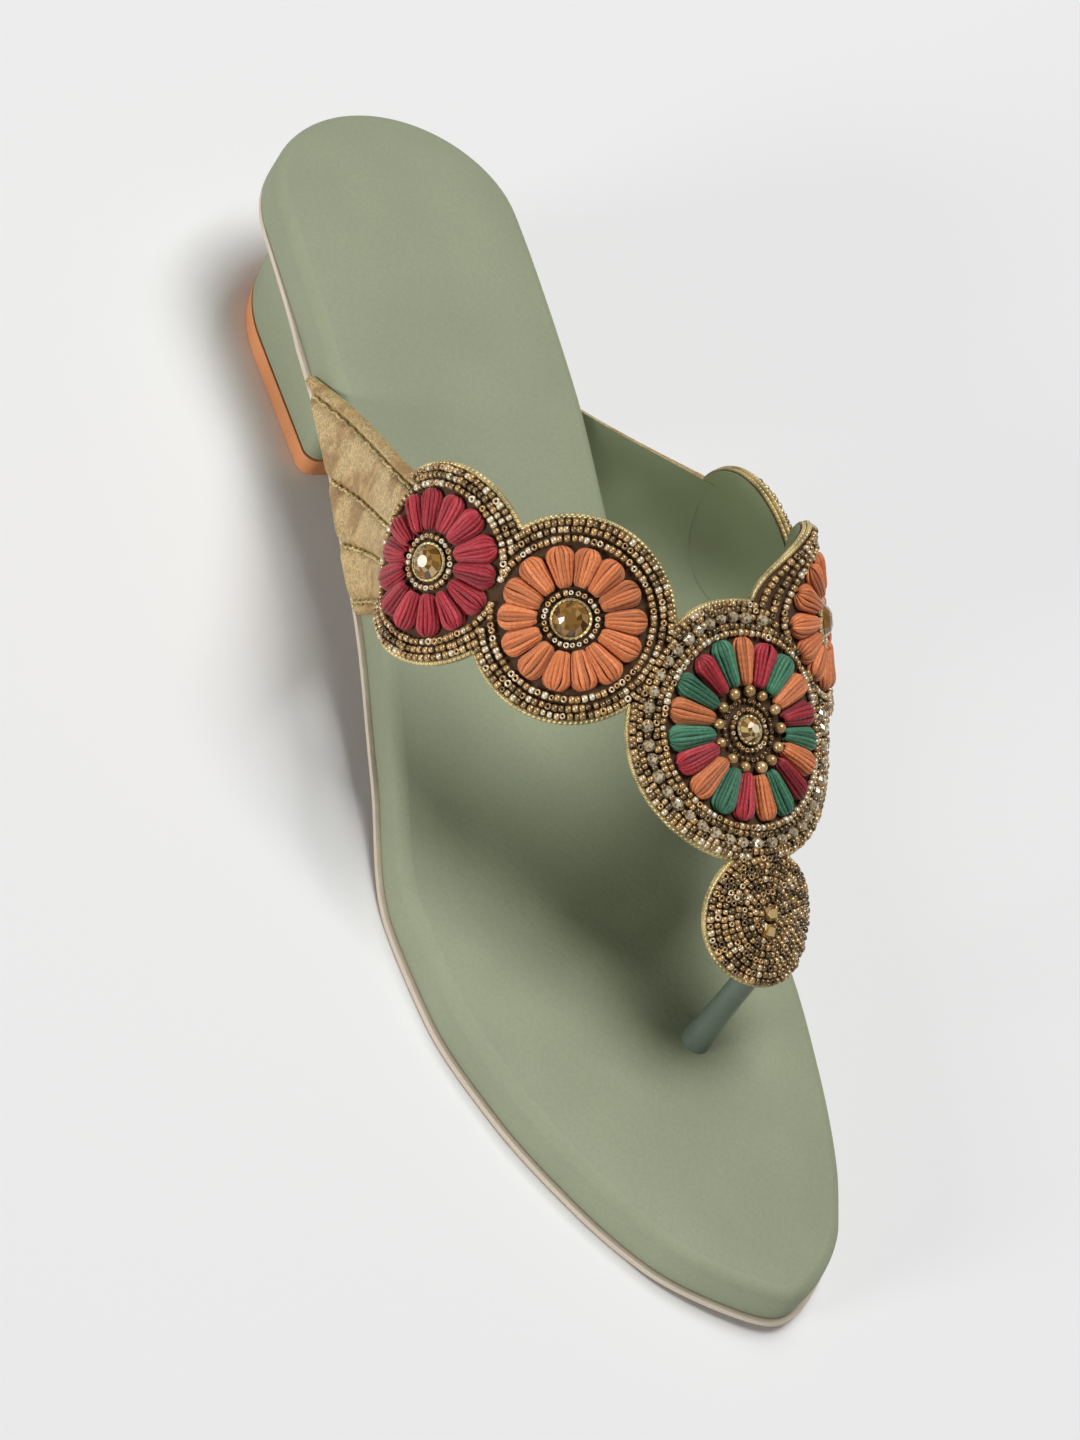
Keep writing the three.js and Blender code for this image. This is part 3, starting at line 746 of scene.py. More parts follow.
@kept
def gold_leather(paint):
    """Metallic leather with brown patches that run across the arms, and a crackled grain. Its raised folds are
    painted a lighter gold as a painted sheen.
    """
    stretch = paint.node("ShaderNodeVectorMath", {"operation": "MULTIPLY"}, {0: paint.place(), 1: (1, 1.6, 0.8)})
    patches = paint.noise(75, 4, 0.6, stretch)
    folds = paint.noise(190, 2, 0.5, stretch)
    grain = paint.noise(1900, 4, 0.75)
    pebble = paint.cells(1500)
    brown = paint.mask(patches, 0.48, 0.62)
    shine = paint.mix(paint.mask(grain, 0.4, 0.62), tinted("gold", 0.62), tinted("gold", 1.25))
    tone = paint.mix(brown * 0.7, shine, tinted("patch"))
    # painted sheen: where the fold noise is high, the gold is mixed towards a lighter gold
    tone = paint.mix(paint.mask(folds, 0.55, 0.7) * 0.4, tone, tinted("gold", 1.3))
    creased = paint.bump(folds, 0.0016, 0.5)
    return paint.finish(
        Base_Color=tone,
        Metallic=0.35 - 0.2 * brown,
        Roughness=0.38 + 0.2 * brown,
        Normal=paint.bump(grain * 0.5 + pebble * 0.6, 0.00016, 0.8, creased),
    )


@kept
def green_lining(paint):
    """Smooth lining leather, painted darker along its soft folds as painted shade."""
    grain = paint.noise(1100, 3, 0.6)
    cloud = paint.noise(35, 2)
    upright = paint.node("ShaderNodeVectorMath", {"operation": "MULTIPLY"}, {0: paint.place(), 1: (1, 1, 0.25)})
    folds = paint.noise(75, 1, 0.4, upright)
    tone = paint.mix(paint.mask(cloud, 0.3, 0.7), tinted("lining", 0.9), tinted("lining", 1.05))
    # painted shade: where the fold noise is high, the lining is mixed towards a darker green
    tone = paint.mix(paint.mask(folds, 0.35, 0.6) * 0.25, tone, tinted("lining", 0.7))
    creased = paint.bump(folds, 0.004, 0.7)
    return paint.finish(Base_Color=tone, Roughness=0.55, Normal=paint.bump(grain, 0.0001, 0.4, creased))


@kept
def bead_ground(paint):
    """Dark cloth under the beads."""
    weave = paint.noise(1600, 3, 0.7)
    tone = paint.mix(weave, tinted("ground", 0.6), tinted("ground", 1.8))
    return paint.finish(Base_Color=tone, Roughness=0.9, Normal=paint.bump(weave, 0.0002))


def thread(paint, tone):
    """Silky strands: the mark holds the distance along a strand and its turn round it."""
    mark = paint.attribute("mark", "Vector")
    parts = paint.node("ShaderNodeSeparateXYZ", {}, {0: mark})
    turns = parts["X"] * 5200
    twist = parts["Y"] * turns.math("COSINE", turns) + parts["Z"] * turns.math("SINE", turns)
    fibre = paint.noise(2600, 2, 0.6)
    strand = paint.attribute("tone")
    dark = tuple(0.5 * value for value in tone)
    light = tuple(min(1, 1.5 * value + 0.03) for value in tone)
    shade = paint.mix(paint.mask(strand, 0, 0.6), dark, tone)
    shade = paint.mix(paint.mask(strand, 0.55, 1.0) * 0.8, shade, light)
    shade = paint.mix(paint.mask(fibre, 0.4, 0.7) * 0.4, shade, dark)
    return paint.finish(
        Base_Color=shade,
        Roughness=0.42 + 0.2 * fibre,
        Specular_IOR_Level=0.4,
        Sheen_Weight=0.25,
        Sheen_Roughness=0.4,
        Normal=paint.bump(twist * 0.25 + fibre, 0.00009, 0.8),
    )


@kept
def crimson_thread(paint):
    return thread(paint, tinted("crimson"))


@kept
def orange_thread(paint):
    return thread(paint, tinted("orange"))


@kept
def green_thread(paint):
    return thread(paint, tinted("green"))


@kept
def bead_bronze(paint):
    """Glass beads with a bronze coat. The tone is each bead's own."""
    tone = paint.attribute("tone")
    ramp = paint.node(
        "ShaderNodeValToRGB",
        {
            "stops": [
                (0.0, tinted("bronze", 0.22)),
                (0.4, tinted("bronze", 0.7)),
                (0.7, tinted("bronze", 1.3)),
                (1.0, linear(238, 226, 198)),
            ]
        },
        {0: tone},
    )
    smudge = paint.noise(1400, 2)
    return paint.finish(
        Base_Color=ramp,
        Metallic=0.35,
        Roughness=0.16 + 0.2 * smudge,
        Coat_Weight=0.6,
        Coat_Roughness=0.08,
    )


@kept
def gold_cord(paint):
    """Metal thread wound round a cord. The mark holds the distance along it and the turn round it."""
    mark = paint.attribute("mark", "Vector")
    parts = paint.node("ShaderNodeSeparateXYZ", {}, {0: mark})
    turns = parts["X"] * 7000
    wound = parts["Y"] * turns.math("COSINE", turns) + parts["Z"] * turns.math("SINE", turns)
    worn = paint.noise(240, 3)
    tone = paint.mix(paint.mask(worn, 0.35, 0.7), tinted("piping", 1.1), tinted("piping", 0.55))
    return paint.finish(Base_Color=tone, Metallic=0.4, Roughness=0.34, Normal=paint.bump(wound, 0.0001, 0.8))


@kept
def amber_stone(paint):
    """Cut glass with a foiled back. Each facet's tone is a painted reflection, light and dark in turn, and pale to
    white tones are painted highlights.
    """
    tone = paint.attribute("tone")
    # painted highlights: the two top stops, pale gold and near white, stand for light on the facets and the table
    ramp = paint.node(
        "ShaderNodeValToRGB",
        {
            "stops": [
                (0.0, tinted("amber", 0.12)),
                (0.5, tinted("amber", 0.8)),
                (0.85, linear(214, 186, 128)),
                (1.0, linear(252, 246, 222)),
            ]
        },
        {0: tone},
    )
    flaw = paint.noise(500, 2)
    return paint.finish(Base_Color=ramp, Metallic=0.1, Roughness=0.05 + 0.06 * flaw, Coat_Weight=0.8)


@kept
def pale_crystal(paint):
    """Champagne crystal with a foiled back. Its facets are painted light and dark by their tone, as painted
    reflections.
    """
    tone = paint.attribute("tone")
    # painted reflections: each facet's tone picks between a dark and a pale champagne
    crystal_and_reflections = paint.mix(tone, linear(88, 70, 48), linear(222, 204, 170))
    flaw = paint.noise(600, 2)
    return paint.finish(Base_Color=crystal_and_reflections, Metallic=0.2, Roughness=0.06 + 0.1 * flaw, Coat_Weight=1.0)


@kept
def post_gloss(paint):
    """Glossy dark green covering."""
    cloud = paint.noise(120, 2)
    tone = paint.mix(cloud, tinted("post", 0.85), tinted("post", 1.1))
    return paint.finish(
        Base_Color=tone,
        Roughness=0.22 + 0.1 * cloud,
        Coat_Weight=0.8,
        Normal=paint.bump(cloud, 0.0003, 0.4),
    )


@kept
def floor_paint(paint):
    """Pale studio floor."""
    cloud = paint.noise(3, 2)
    tone = paint.mix(cloud, linear(236, 236, 236), linear(238, 238, 238))
    return paint.finish(Base_Color=tone, Roughness=0.9, Specular_IOR_Level=0.1)


def dress(piece, slot, *nodes):
    """Rides the piece on the one body and hides the imported solids that it stands for."""
    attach(piece, "root")
    if nodes:
        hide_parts(*nodes)


def plate(shape, levels, finishes, cross_steps=28, crown=0.0):
    """A closed solid from stacked levels of stations, each a left and a right point."""
    shares = np.linspace(0, 1, cross_steps + 1)
    for low, high, finish in zip(levels, levels[1:], finishes[1:]):
        for side in (0, 1):
            rows = np.stack([low[:, side], high[:, side]])
            shape.grid(rows if side == 0 else rows[::-1], finish)
        if np.linalg.norm(low[-1, 0] - low[-1, 1]) > MM:
            shape.grid(np.stack([low[-1], high[-1]]), finish)
    for level, finish, lift in ((levels[0], finishes[0], 0), (levels[-1], finishes[-1], crown)):
        left, right = level[:, 0], level[:, 1]
        sheet = left[None] + (right - left)[None] * shares[:, None, None]
        width = np.linalg.norm(right - left, axis=-1)
        inside = np.minimum(shares, 1 - shares)[:, None] * width[None]
        ends = np.minimum(left[:, 1].max() - left[:, 1], left[:, 1] - left[:, 1].min())[None]
        rise = [1 - (1 - np.clip(reach / CROWN_REACH, 0, 1)) ** 2 for reach in (inside, ends)]
        sheet[..., 2] += lift * rise[0] * rise[1]
        shape.grid(sheet if lift or level is levels[-1] else sheet[::-1], finish)


class SANDAL_OT_sole(bpy.types.Operator):
    """Make the outsole and the padded footbed."""

    bl_idname = "sandal.sole"
    bl_label = "Sole and footbed"

    def execute(self, context):
        sole = model().sole
        steps = 150
        edge = 0.35 * MM
        shape = Shape()
        levels = [
            sole.level(edge, 0, steps, FOOTBED_MARGIN),
            sole.level(0.3 * edge, 0.3 * edge, steps, FOOTBED_MARGIN),
            sole.level(0, edge, steps, FOOTBED_MARGIN),
            sole.level(0, OUTSOLE_THICKNESS - 0.3 * edge, steps, FOOTBED_MARGIN),
            sole.level(0.3 * edge, OUTSOLE_THICKNESS, steps, FOOTBED_MARGIN),
        ]
        plate(shape, levels, (1, 0, 0, 0, 0))
        outsole = shape.build("outsole_shell", [sole_edge(), sole_underside()], 30)
        dress(outsole, "outsole_edge", "outsole")

        bottom = OUTSOLE_THICKNESS + 0.15 * CLEARANCE
        shape = Shape()
        levels = [
            sole.level(FOOTBED_MARGIN + 0.4 * edge, bottom, steps),
            sole.level(FOOTBED_MARGIN - 0.4 * edge, bottom + 0.4 * edge, steps),
        ]
        for share in np.linspace(0, 1, 9):
            turn = 0.5 * math.pi * share
            inset = FOOTBED_MARGIN + FOOTBED_ROUND * (1 - math.cos(turn))
            height = FOOTBED_TOP - FOOTBED_CROWN - FOOTBED_ROUND * (1 - math.sin(turn))
            levels.append(sole.level(inset, height, steps))
        plate(shape, levels, [0] * len(levels), 40, FOOTBED_CROWN)
        footbed = shape.build("footbed_cover", [sage_leather()], 60)
        dress(footbed, "sage_leather", "footbed")
        return {"FINISHED"}


def heel_level(sole, share, up_at, inset=0.0, steps=60):
    """One level of the heel. The share is 0 at the floor and 1 under the outsole."""
    side = HEEL_INSET + HEEL_SIDE_RAKE * (1 - share) + inset
    back = HEEL_BACK_INSET + HEEL_BACK_RAKE * (1 - share) + inset
    front = sole.sizes.heel_front - inset
    along = back + 0.5 * (front - back) * (1 - np.cos(np.linspace(0, math.pi, steps + 1)))
    left = np.clip(1 - (front - along) / HEEL_CORNER, 0, 1)
    corner = HEEL_CORNER * (1 - np.sqrt(1 - left * left))
    half = (0.5 * sole.width(along) - side) * end_round(along - back, HEEL_ROUND) - corner
    middle = sole.middle(along)
    up = up_at(along)
    return np.stack([sole.at(middle - half, along, up), sole.at(middle + half, along, up)], axis=1)


class SANDAL_OT_heel(bpy.types.Operator):
    """Make the covered block heel and its rubber lift."""

    bl_idname = "sandal.heel"
    bl_label = "Heel"

    def execute(self, context):
        sole = model().sole
        height = sole.sizes.heel_height
        edge = 0.4 * MM
        shape = Shape()
        levels = []
        for inset, up in ((edge, 0), (0.3 * edge, 0.3 * edge), (0, edge), (0, LIFT_THICKNESS)):
            levels.append(heel_level(sole, up / height, lambda along, up=up: up + 0 * along, inset))
        plate(shape, levels, [0] * len(levels))
        lift = shape.build("heel_lift", [lift_rubber()], 35)
        dress(lift, "lift_rubber", "top_lift")

        bottom = LIFT_THICKNESS + CLEARANCE
        shape = Shape()
        levels = [
            heel_level(sole, bottom / height, lambda along: bottom + 0 * along, 0.7 * edge),
            heel_level(sole, bottom / height, lambda along: bottom + edge + 0 * along),
        ]
        for share in (0.35, 0.6, 0.85):
            levels.append(
                heel_level(
                    sole,
                    share,
                    lambda along, share=share: bottom + (sole.underside(along) - bottom) * share,
                )
            )
        levels.append(heel_level(sole, 1, lambda along: sole.underside(along) - CLEARANCE))
        plate(shape, levels, [0] * len(levels))
        block = shape.build("heel_cover", [sage_leather()], 35)
        dress(block, "sage_leather", "heel_block")
        return {"FINISHED"}


def patch(shape, outer, inner, finish, lining, loop):
    """A piece of the strap's wall: its outer sheet, its lining and the edge between them."""
    shape.grid(outer, finish, loop_columns=loop)
    shape.grid(inner[::-1], lining, loop_columns=loop)
    rim = np.stack([outer[-1], inner[-1]])
    shape.grid(rim, finish, loop_columns=loop)


STITCH_LINES = (-0.85, -0.12, 0.42, 0.9)


class SANDAL_OT_strap(bpy.types.Operator):
    """Make the strap's wall: round medallions, a drop and two leather arms."""

    bl_idname = "sandal.strap"
    bl_label = "Strap"

    def execute(self, context):
        made = model()
        wall = made.sizes.strap_wall
        shape = Shape()
        for number, disc in enumerate(made.discs.values()):
            turn = np.linspace(0, TAU, 96, endpoint=False)
            sink = 0.04 * MM * (1 + number % 3)
            rim = disc.radius - 0.5 * made.sizes.piping_size + 0 * turn
            shares = np.linspace(0.001, 1, 14)[:, None]
            x = shares * rim * np.cos(turn)
            y = shares * rim * np.sin(turn)
            outer = disc.on(x, y, -sink)
            inner = disc.on(x, y, -wall + sink)
            patch(shape, outer, inner, 1, 2, True)
        for arm in made.arms:
            cross = np.linspace(-1, 1, 81)[None, :]
            share = np.linspace(0, 1, 40)[:, None]
            x, y = arm.spot(share, cross)
            nearest = np.min(np.abs(cross[0][:, None] - np.array(STITCH_LINES)[None, :]), axis=1)
            puff = 0.85 * MM * (1 - np.exp(-((nearest / 0.055) ** 2)))[None, :] - 0.4 * MM
            edge = np.sqrt(np.clip((1 - np.abs(cross)) / 0.05, 0, 1))
            tuck = np.clip((share - 0.94) / 0.06, 0, 1) ** 2
            lift = puff * edge - 0.4 * wall * (1 - edge) - 0.35 * MM * tuck
            outer = arm.on(x, y, lift)
            inner = arm.on(x, y, -wall)
            shape.grid(outer if arm.side > 0 else outer[::-1], 0)
            shape.grid(inner[::-1] if arm.side > 0 else inner, 2)
            for line in (0, -1):
                shape.grid(np.stack([outer[:, line], inner[:, line]]), 0)
            shape.grid(np.stack([outer[0], inner[0]]), 0)
        piece = shape.build("strap_wall", [gold_leather(), bead_ground(), green_lining()], 50)
        dress(piece, "gold_leather", "strap")
        return {"FINISHED"}


def tube(shape, path, outward, radius, finish=0, tone=0.5, sides=8, caps=True):
    """A round tube along a path. Its marks hold the distance along it and the turn round it."""
    path = np.asarray(path)
    count = len(path)
    way = unit(np.gradient(path, axis=0))
    side = unit(np.cross(way, outward))
    up = np.cross(side, way)
    turn = np.linspace(0, TAU, sides, endpoint=False)
    radius = np.broadcast_to(radius, (count,))[:, None, None]
    ring = np.cos(turn)[None, :, None] * side[:, None, :] + np.sin(turn)[None, :, None] * up[:, None, :]
    points = path[:, None, :] + ring * radius
    run = np.concatenate([[0], np.cumsum(np.linalg.norm(np.diff(path, axis=0), axis=1))])
    mark = np.stack(np.broadcast_arrays(run[:, None], np.cos(turn)[None], np.sin(turn)[None]), axis=-1)
    shape.grid(points, finish, tone, mark, loop_columns=True)
    if caps:
        first = shape.count - count * sides
        shape.faces.append(tuple(first + k for k in range(sides - 1, -1, -1)))
        shape.faces.append(tuple(first + (count - 1) * sides + k for k in range(sides)))
        shape.finishes += [finish, finish]


def petals(shape, disc, turns, finishes, height, draw):
    """Thread petals: strands that lie side by side over padded, round-ended forms."""
    strands = disc.strap.sizes.strands
    count = len(turns)
    share = 0.5 * (1 - np.cos(np.linspace(0, math.pi, 14)))[None, None, :]
    lean = math.radians(80) * np.linspace(-1, 1, strands)[None, :, None]
    lean = lean + draw.uniform(-0.05, 0.05, (count, strands, 1))
    inner = HUB_RADIUS[disc.kind] + draw.uniform(0, 0.4, (count, 1, 1)) * MM
    outer = PETAL_RADIUS[disc.kind] * draw.uniform(0.97, 1.01, (count, 1, 1))
    wide = draw.uniform(0.8, 0.93, (count, 1, 1)) * math.pi / count
    reach = inner + (outer - inner) * share
    half = wide * np.minimum(reach, 0.87 * outer)
    tip = np.clip((outer - reach) / half, 0, 1)
    root = np.clip((reach - inner) / half, 0, 1)
    rounding = np.sqrt(1 - (1 - tip) ** 2) * (0.45 + 0.55 * np.sqrt(1 - (1 - root) ** 2))
    across = half * np.sin(lean) * (0.12 + 0.88 * rounding)
    across = across + 0.03 * half * np.sin(7 * share + draw.uniform(0, TAU, (count, strands, 1)))
    lift = height * (0.3 + 0.7 * rounding**0.7) * np.cos(lean) ** 0.8
    lift = lift + draw.uniform(-0.1, 0.1, (count, strands, 1)) * MM
    turn = np.reshape(turns, (-1, 1, 1))
    x = reach * np.cos(turn) - across * np.sin(turn)
    y = reach * np.sin(turn) + across * np.cos(turn)
    paths = disc.on(x, y, lift)
    long, cross = disc.find(x, y)
    outward = disc.strap.ways(long.ravel(), cross.ravel())[1].reshape(paths.shape)
    arc = math.pi * np.sqrt(0.5 * ((half * rounding) ** 2 + (height * (0.3 + 0.7 * rounding)) ** 2))
    thick = np.broadcast_to(0.56 * arc / strands, x.shape)
    tones = 0.35 * draw.uniform(0, 1, (count, 1)) + 0.65 * draw.uniform(0, 1, (count, strands))
    for number in range(count):
        for strand in range(strands):
            spot = (number, strand)
            tube(shape, paths[spot], outward[spot], thick[spot], finishes[number], tones[spot], 7)


# The turn of each flower's first petal in degrees, and its petals' threads in order: crimson 0,
# orange 1 and green 2.
FLOWERS = {
    "red_outer": ("red_flower_outer", "red_thread", -8, [0] * 14),
    "orange_outer": ("orange_flower_outer", "orange_thread", 0, [1] * 14),
    "centre": ("centre_flower", "mixed_thread", -99, [2, 1, 0] * 5 + [2, 1, 2, 0]),
    "orange_inner": ("orange_flower_inner", "orange_thread", 5, [1] * 14),
    "red_inner": ("red_flower_inner", "red_thread", 3, [0] * 14),
}


class SANDAL_OT_flowers(bpy.types.Operator):
    """Make the five flowers of sewn thread."""

    bl_idname = "sandal.flowers"
    bl_label = "Thread flowers"

    def execute(self, context):
        made = model()
        height = made.sizes.petal_height - 0.6 * MM
        for name, (node, slot, start, finishes) in FLOWERS.items():
            draw = np.random.default_rng(len(node))
            shape = Shape()
            count = len(finishes)
            turns = math.radians(start) + TAU * (np.arange(count) + draw.uniform(-0.06, 0.06, count)) / count
            petals(shape, made.discs[name], turns, finishes, height, draw)
            threads = [crimson_thread(), orange_thread(), green_thread()]
            piece = shape.build(name + "_petals", threads, 180)
            dress(piece, slot, node)
        return {"FINISHED"}


def bead_form(size, hole=0.34, height=0.8):
    """A bead as points and faces: a ring section turned round its hole."""
    outer = 0.5 * size
    middle = 0.5 * outer * (1 + hole)
    thick = 0.5 * outer * (1 - hole)
    sides, around = 8, 6
    points = []
    for i in range(sides):
        turn = TAU * i / sides
        for k in range(around):
            angle = TAU * k / around
            radius = middle + thick * math.cos(angle)
            points.append((radius * math.cos(turn), radius * math.sin(turn), 0.5 * height * size * math.sin(angle)))
    faces = []
    for i in range(sides):
        for k in range(around):
            i2, k2 = (i + 1) % sides, (k + 1) % around
            faces.append((i * around + k, i2 * around + k, i2 * around + k2, i * around + k2))
    return np.array(points), faces


def ball_form(size):
    """A plain round bead."""
    sides, rings = 12, 8
    rows = np.linspace(0, math.pi, rings + 1)[1:-1]
    points = [(0, 0, 0.5 * size)]
    for row in rows:
        for i in range(sides):
            turn = TAU * i / sides
            flat = 0.5 * size * math.sin(row)
            points.append((flat * math.cos(turn), flat * math.sin(turn), 0.5 * size * math.cos(row)))
    points.append((0, 0, -0.5 * size))
    last = len(points) - 1
    faces = []
    for i in range(sides):
        i2 = (i + 1) % sides
        faces.append((0, 1 + i, 1 + i2))
        faces.append((last, last - sides + i2, last - sides + i))
        for k in range(len(rows) - 1):
            a, b = 1 + k * sides, 1 + (k + 1) * sides
            faces.append((a + i, b + i, b + i2, a + i2))
    return np.array(points), faces


def sew(shape, disc, x, y, size, draw, lying=0.8, lift=0.0, tone=(0.1, 0.95), ball=False):
    """Sews beads at flat offsets. Lying is the share of them whose holes follow the row."""
    spots, axes = disc.axes_at(np.asarray(x), np.asarray(y))
    count = len(spots)
    if not count:
        return
    around, _, outward = axes.transpose(1, 0, 2)
    tilt = draw.normal(0, 0.14, (count, 2, 1))
    lean = unit(outward + tilt[:, 0] * around + tilt[:, 1] * axes[:, 1])
    first = unit(around - lean * np.sum(around * lean, axis=1, keepdims=True))
    second = np.cross(lean, first)
    turned = draw.random((count, 1)) < lying
    placed = np.where(turned[..., None], np.stack([second, lean, first], 1), np.stack([first, second, lean], 1))
    placed = placed * draw.uniform(0.86, 1.1, (count, 1, 1))
    heights = lift + size * draw.uniform(0.44, 0.6, (count, 1))
    points, faces = ball_form(size) if ball else bead_form(size)
    shape.copies(points, faces, spots + outward * heights, placed, draw.uniform(*tone, count))


def ring_spots(radius, pitch, draw, wobble=0.04, start=0.0):
    """Offsets of beads that follow a circle."""
    count = max(3, round(TAU * radius / pitch))
    turns = start + TAU * (np.arange(count) + draw.uniform(-0.12, 0.12, count)) / count
    away = radius + draw.normal(0, wobble * pitch, count)
    return away * np.cos(turns), away * np.sin(turns)


# Rows of seed beads by kind: the radius in millimetres, the share lying along the row, and tones.
BEAD_ROWS = {
    "red": ((13.7, 0.7, (0.45, 1)), (15.15, 0.9, (0.1, 0.9)), (16.45, 0.9, (0.2, 0.95))),
    "orange": ((13.7, 0.7, (0.45, 1)), (15.3, 0.9, (0.1, 0.9)), (16.6, 0.9, (0.2, 0.95))),
    "centre": (
        (17.05, 0.7, (0.45, 1)),
        (18.2, 0.9, (0, 0.7)),
        (19.8, 0.9, (0, 0.8)),
        (21.1, 0.9, (0.1, 0.8)),
        (22.1, 0.9, (0.2, 0.95)),
    ),
    "drop": tuple((11.1 - 1.15 * n, 0.7, (0.0, 0.85)) for n in range(9)),
}


class SANDAL_OT_beads(bpy.types.Operator):
    """Sew the seed beads round the flowers, on the drop and in the hubs."""

    bl_idname = "sandal.beads"
    bl_label = "Seed beads"

    def execute(self, context):
        made = model()
        size = made.sizes.bead_size
        for number, disc in enumerate(made.discs.values()):
            draw = np.random.default_rng(20 + number)
            shape = Shape()
            for radius, lying, tone in BEAD_ROWS[disc.kind]:
                pitch = (1.04 - 0.16 * (lying > 0.5)) * size
                x, y = ring_spots(radius * MM, pitch, draw, 0.05)
                free = made.free(disc, x, y, -0.1 * size)
                sew(shape, disc, x[free], y[free], size, draw, lying, 0, tone)
            if disc.kind == "centre":
                x, y = ring_spots(3.6 * MM, 1.05 * MM, draw)
                sew(shape, disc, x, y, 0.95 * MM, draw, 0.3, 0.3 * MM, (0.4, 1))
                x, y = ring_spots(5.2 * MM, 1.1 * MM, draw)
                sew(shape, disc, x, y, 0.9 * MM, draw, 0.5, 0, (0, 0.5))
                x, y = ring_spots(6.75 * MM, TAU * 6.75 / 13 * MM, draw, 0.01, 0.1)
                sew(shape, disc, x, y, 2.1 * MM, draw, 0, 0, (0.5, 0.75), True)
            elif disc.kind != "drop":
                x, y = ring_spots(4.5 * MM, 1.15 * MM, draw, 0.02)
                sew(shape, disc, x, y, 1.05 * MM, draw, 0.2, 0.3 * MM, (0.6, 1))
            piece = shape.build(disc.name + "_beads", [bead_bronze()], 180)
            dress(piece, "bead_bronze")
        return {"FINISHED"}


def gem(shape, disc, x, y, radius, height, draw, sides=8, base=0.0, table_reflection=0.6, facet_reflection=1.0, flat=0.36):
    """A cut stone with separate flat facets. Each facet's tone is a painted reflection, low and high in turn with a
    random change, and the table's tone is a painted highlight where it is high.
    """
    spots, axes = disc.axes_at(np.array([x]), np.array([y]))
    spot, (around, away, outward) = spots[0], axes[0]
    rings = ((1, 0), (1, 0.4), (0.48 + 0.5 * flat, 0.85), (flat, 1))

    def corner(ring, k):
        share, up = rings[ring]
        turn = TAU * (k + 0.5 * (ring % 2)) / sides
        flat = radius * share * (math.cos(turn) * around + math.sin(turn) * away)
        return spot + flat + outward * (base + up * height)

    for ring in range(len(rings) - 1):
        for k in range(sides):
            low, low_next = corner(ring, k), corner(ring, k + 1)
            high, high_next = corner(ring + 1, k), corner(ring + 1, k + 1)
            # painted reflections: facets take a low and a high tone in turn, with a random change
            tone = np.clip(facet_reflection * (0.2 + 0.5 * ((k + ring) % 2) + draw.uniform(-0.2, 0.25)), 0, 1)
            shape.add([low, low_next, high_next, high], [(0, 1, 2, 3)], 0, tone)
    top = [corner(len(rings) - 1, k) for k in range(sides)]
    # painted highlight: the table's tone, which is near white when it is high
    shape.add(top, [tuple(range(sides))], 0, table_reflection)


# Stones: the solid that each replaces, radius and height in millimetres, the tone of its table as a
# painted reflection, white at 1 as a painted highlight, and how bright its facets' painted reflections are.
STONES = {
    "red_outer": ("red_stone_outer", 3.0, 2.3, 1.0, 0.85),
    "orange_outer": ("orange_stone_outer", 3.1, 2.3, 0.3, 0.6),
    "centre": ("centre_stone", 2.2, 2.4, 0.95, 0.9),
    "orange_inner": ("orange_stone_inner", 3.1, 2.3, 0.35, 0.6),
    "red_inner": ("red_stone_inner", 3.0, 2.3, 0.6, 0.7),
    "drop": ("drop_stone", 1.5, 1.7, 0.8, 0.9),
}


class SANDAL_OT_stones(bpy.types.Operator):
    """Set the amber stones in the hubs and the crystals round the middle flower."""

    bl_idname = "sandal.stones"
    bl_label = "Stones"

    def execute(self, context):
        made = model()
        for number, (name, (node, radius, height, table_reflection, facet_reflection)) in enumerate(STONES.items()):
            disc = made.discs[name]
            draw = np.random.default_rng(40 + number)
            shape = Shape()
            places = [(0.0, 0.0)]
            if name == "drop":
                places = [(0.1 * MM, -0.6 * MM), (-1.2 * MM, 2.2 * MM)]
            for x, y in places:
                sides, flat = (4, 0.72) if name == "drop" else (12, 0.36)
                gem(shape, disc, x, y, radius * MM, height * MM, draw, sides, 0.2 * MM, table_reflection, facet_reflection, flat)
            if name != "drop":
                turn = np.linspace(0, TAU, 40)
                cup = (radius + 0.2) * MM
                spots, axes = disc.axes_at(cup * np.cos(turn), cup * np.sin(turn))
                path = spots + axes[:, 2] * (0.4 * height * MM)
                tube(shape, path, axes[:, 2], 0.28 * MM, 1, 0.6, 6, False)
            piece = shape.build(name + "_stone", [amber_stone(), gold_cord()], 12)
            dress(piece, "amber_stone", node)

        disc = made.discs["centre"]
        draw = np.random.default_rng(60)
        shape = Shape()
        x, y = ring_spots(19.7 * MM, 2.9 * MM, draw, 0.02)
        free = made.free(disc, x, y, 0.8 * MM)
        for spot_x, spot_y in zip(x[free], y[free]):
            size = draw.uniform(1.05, 1.3) * MM
            gem(shape, disc, spot_x, spot_y, size, 1.5 * MM, draw, 8, 0.1 * MM, draw.uniform(0.5, 1))
        piece = shape.build("centre_crystals", [pale_crystal()], 12)
        dress(piece, "amber_stone")
        return {"FINISHED"}


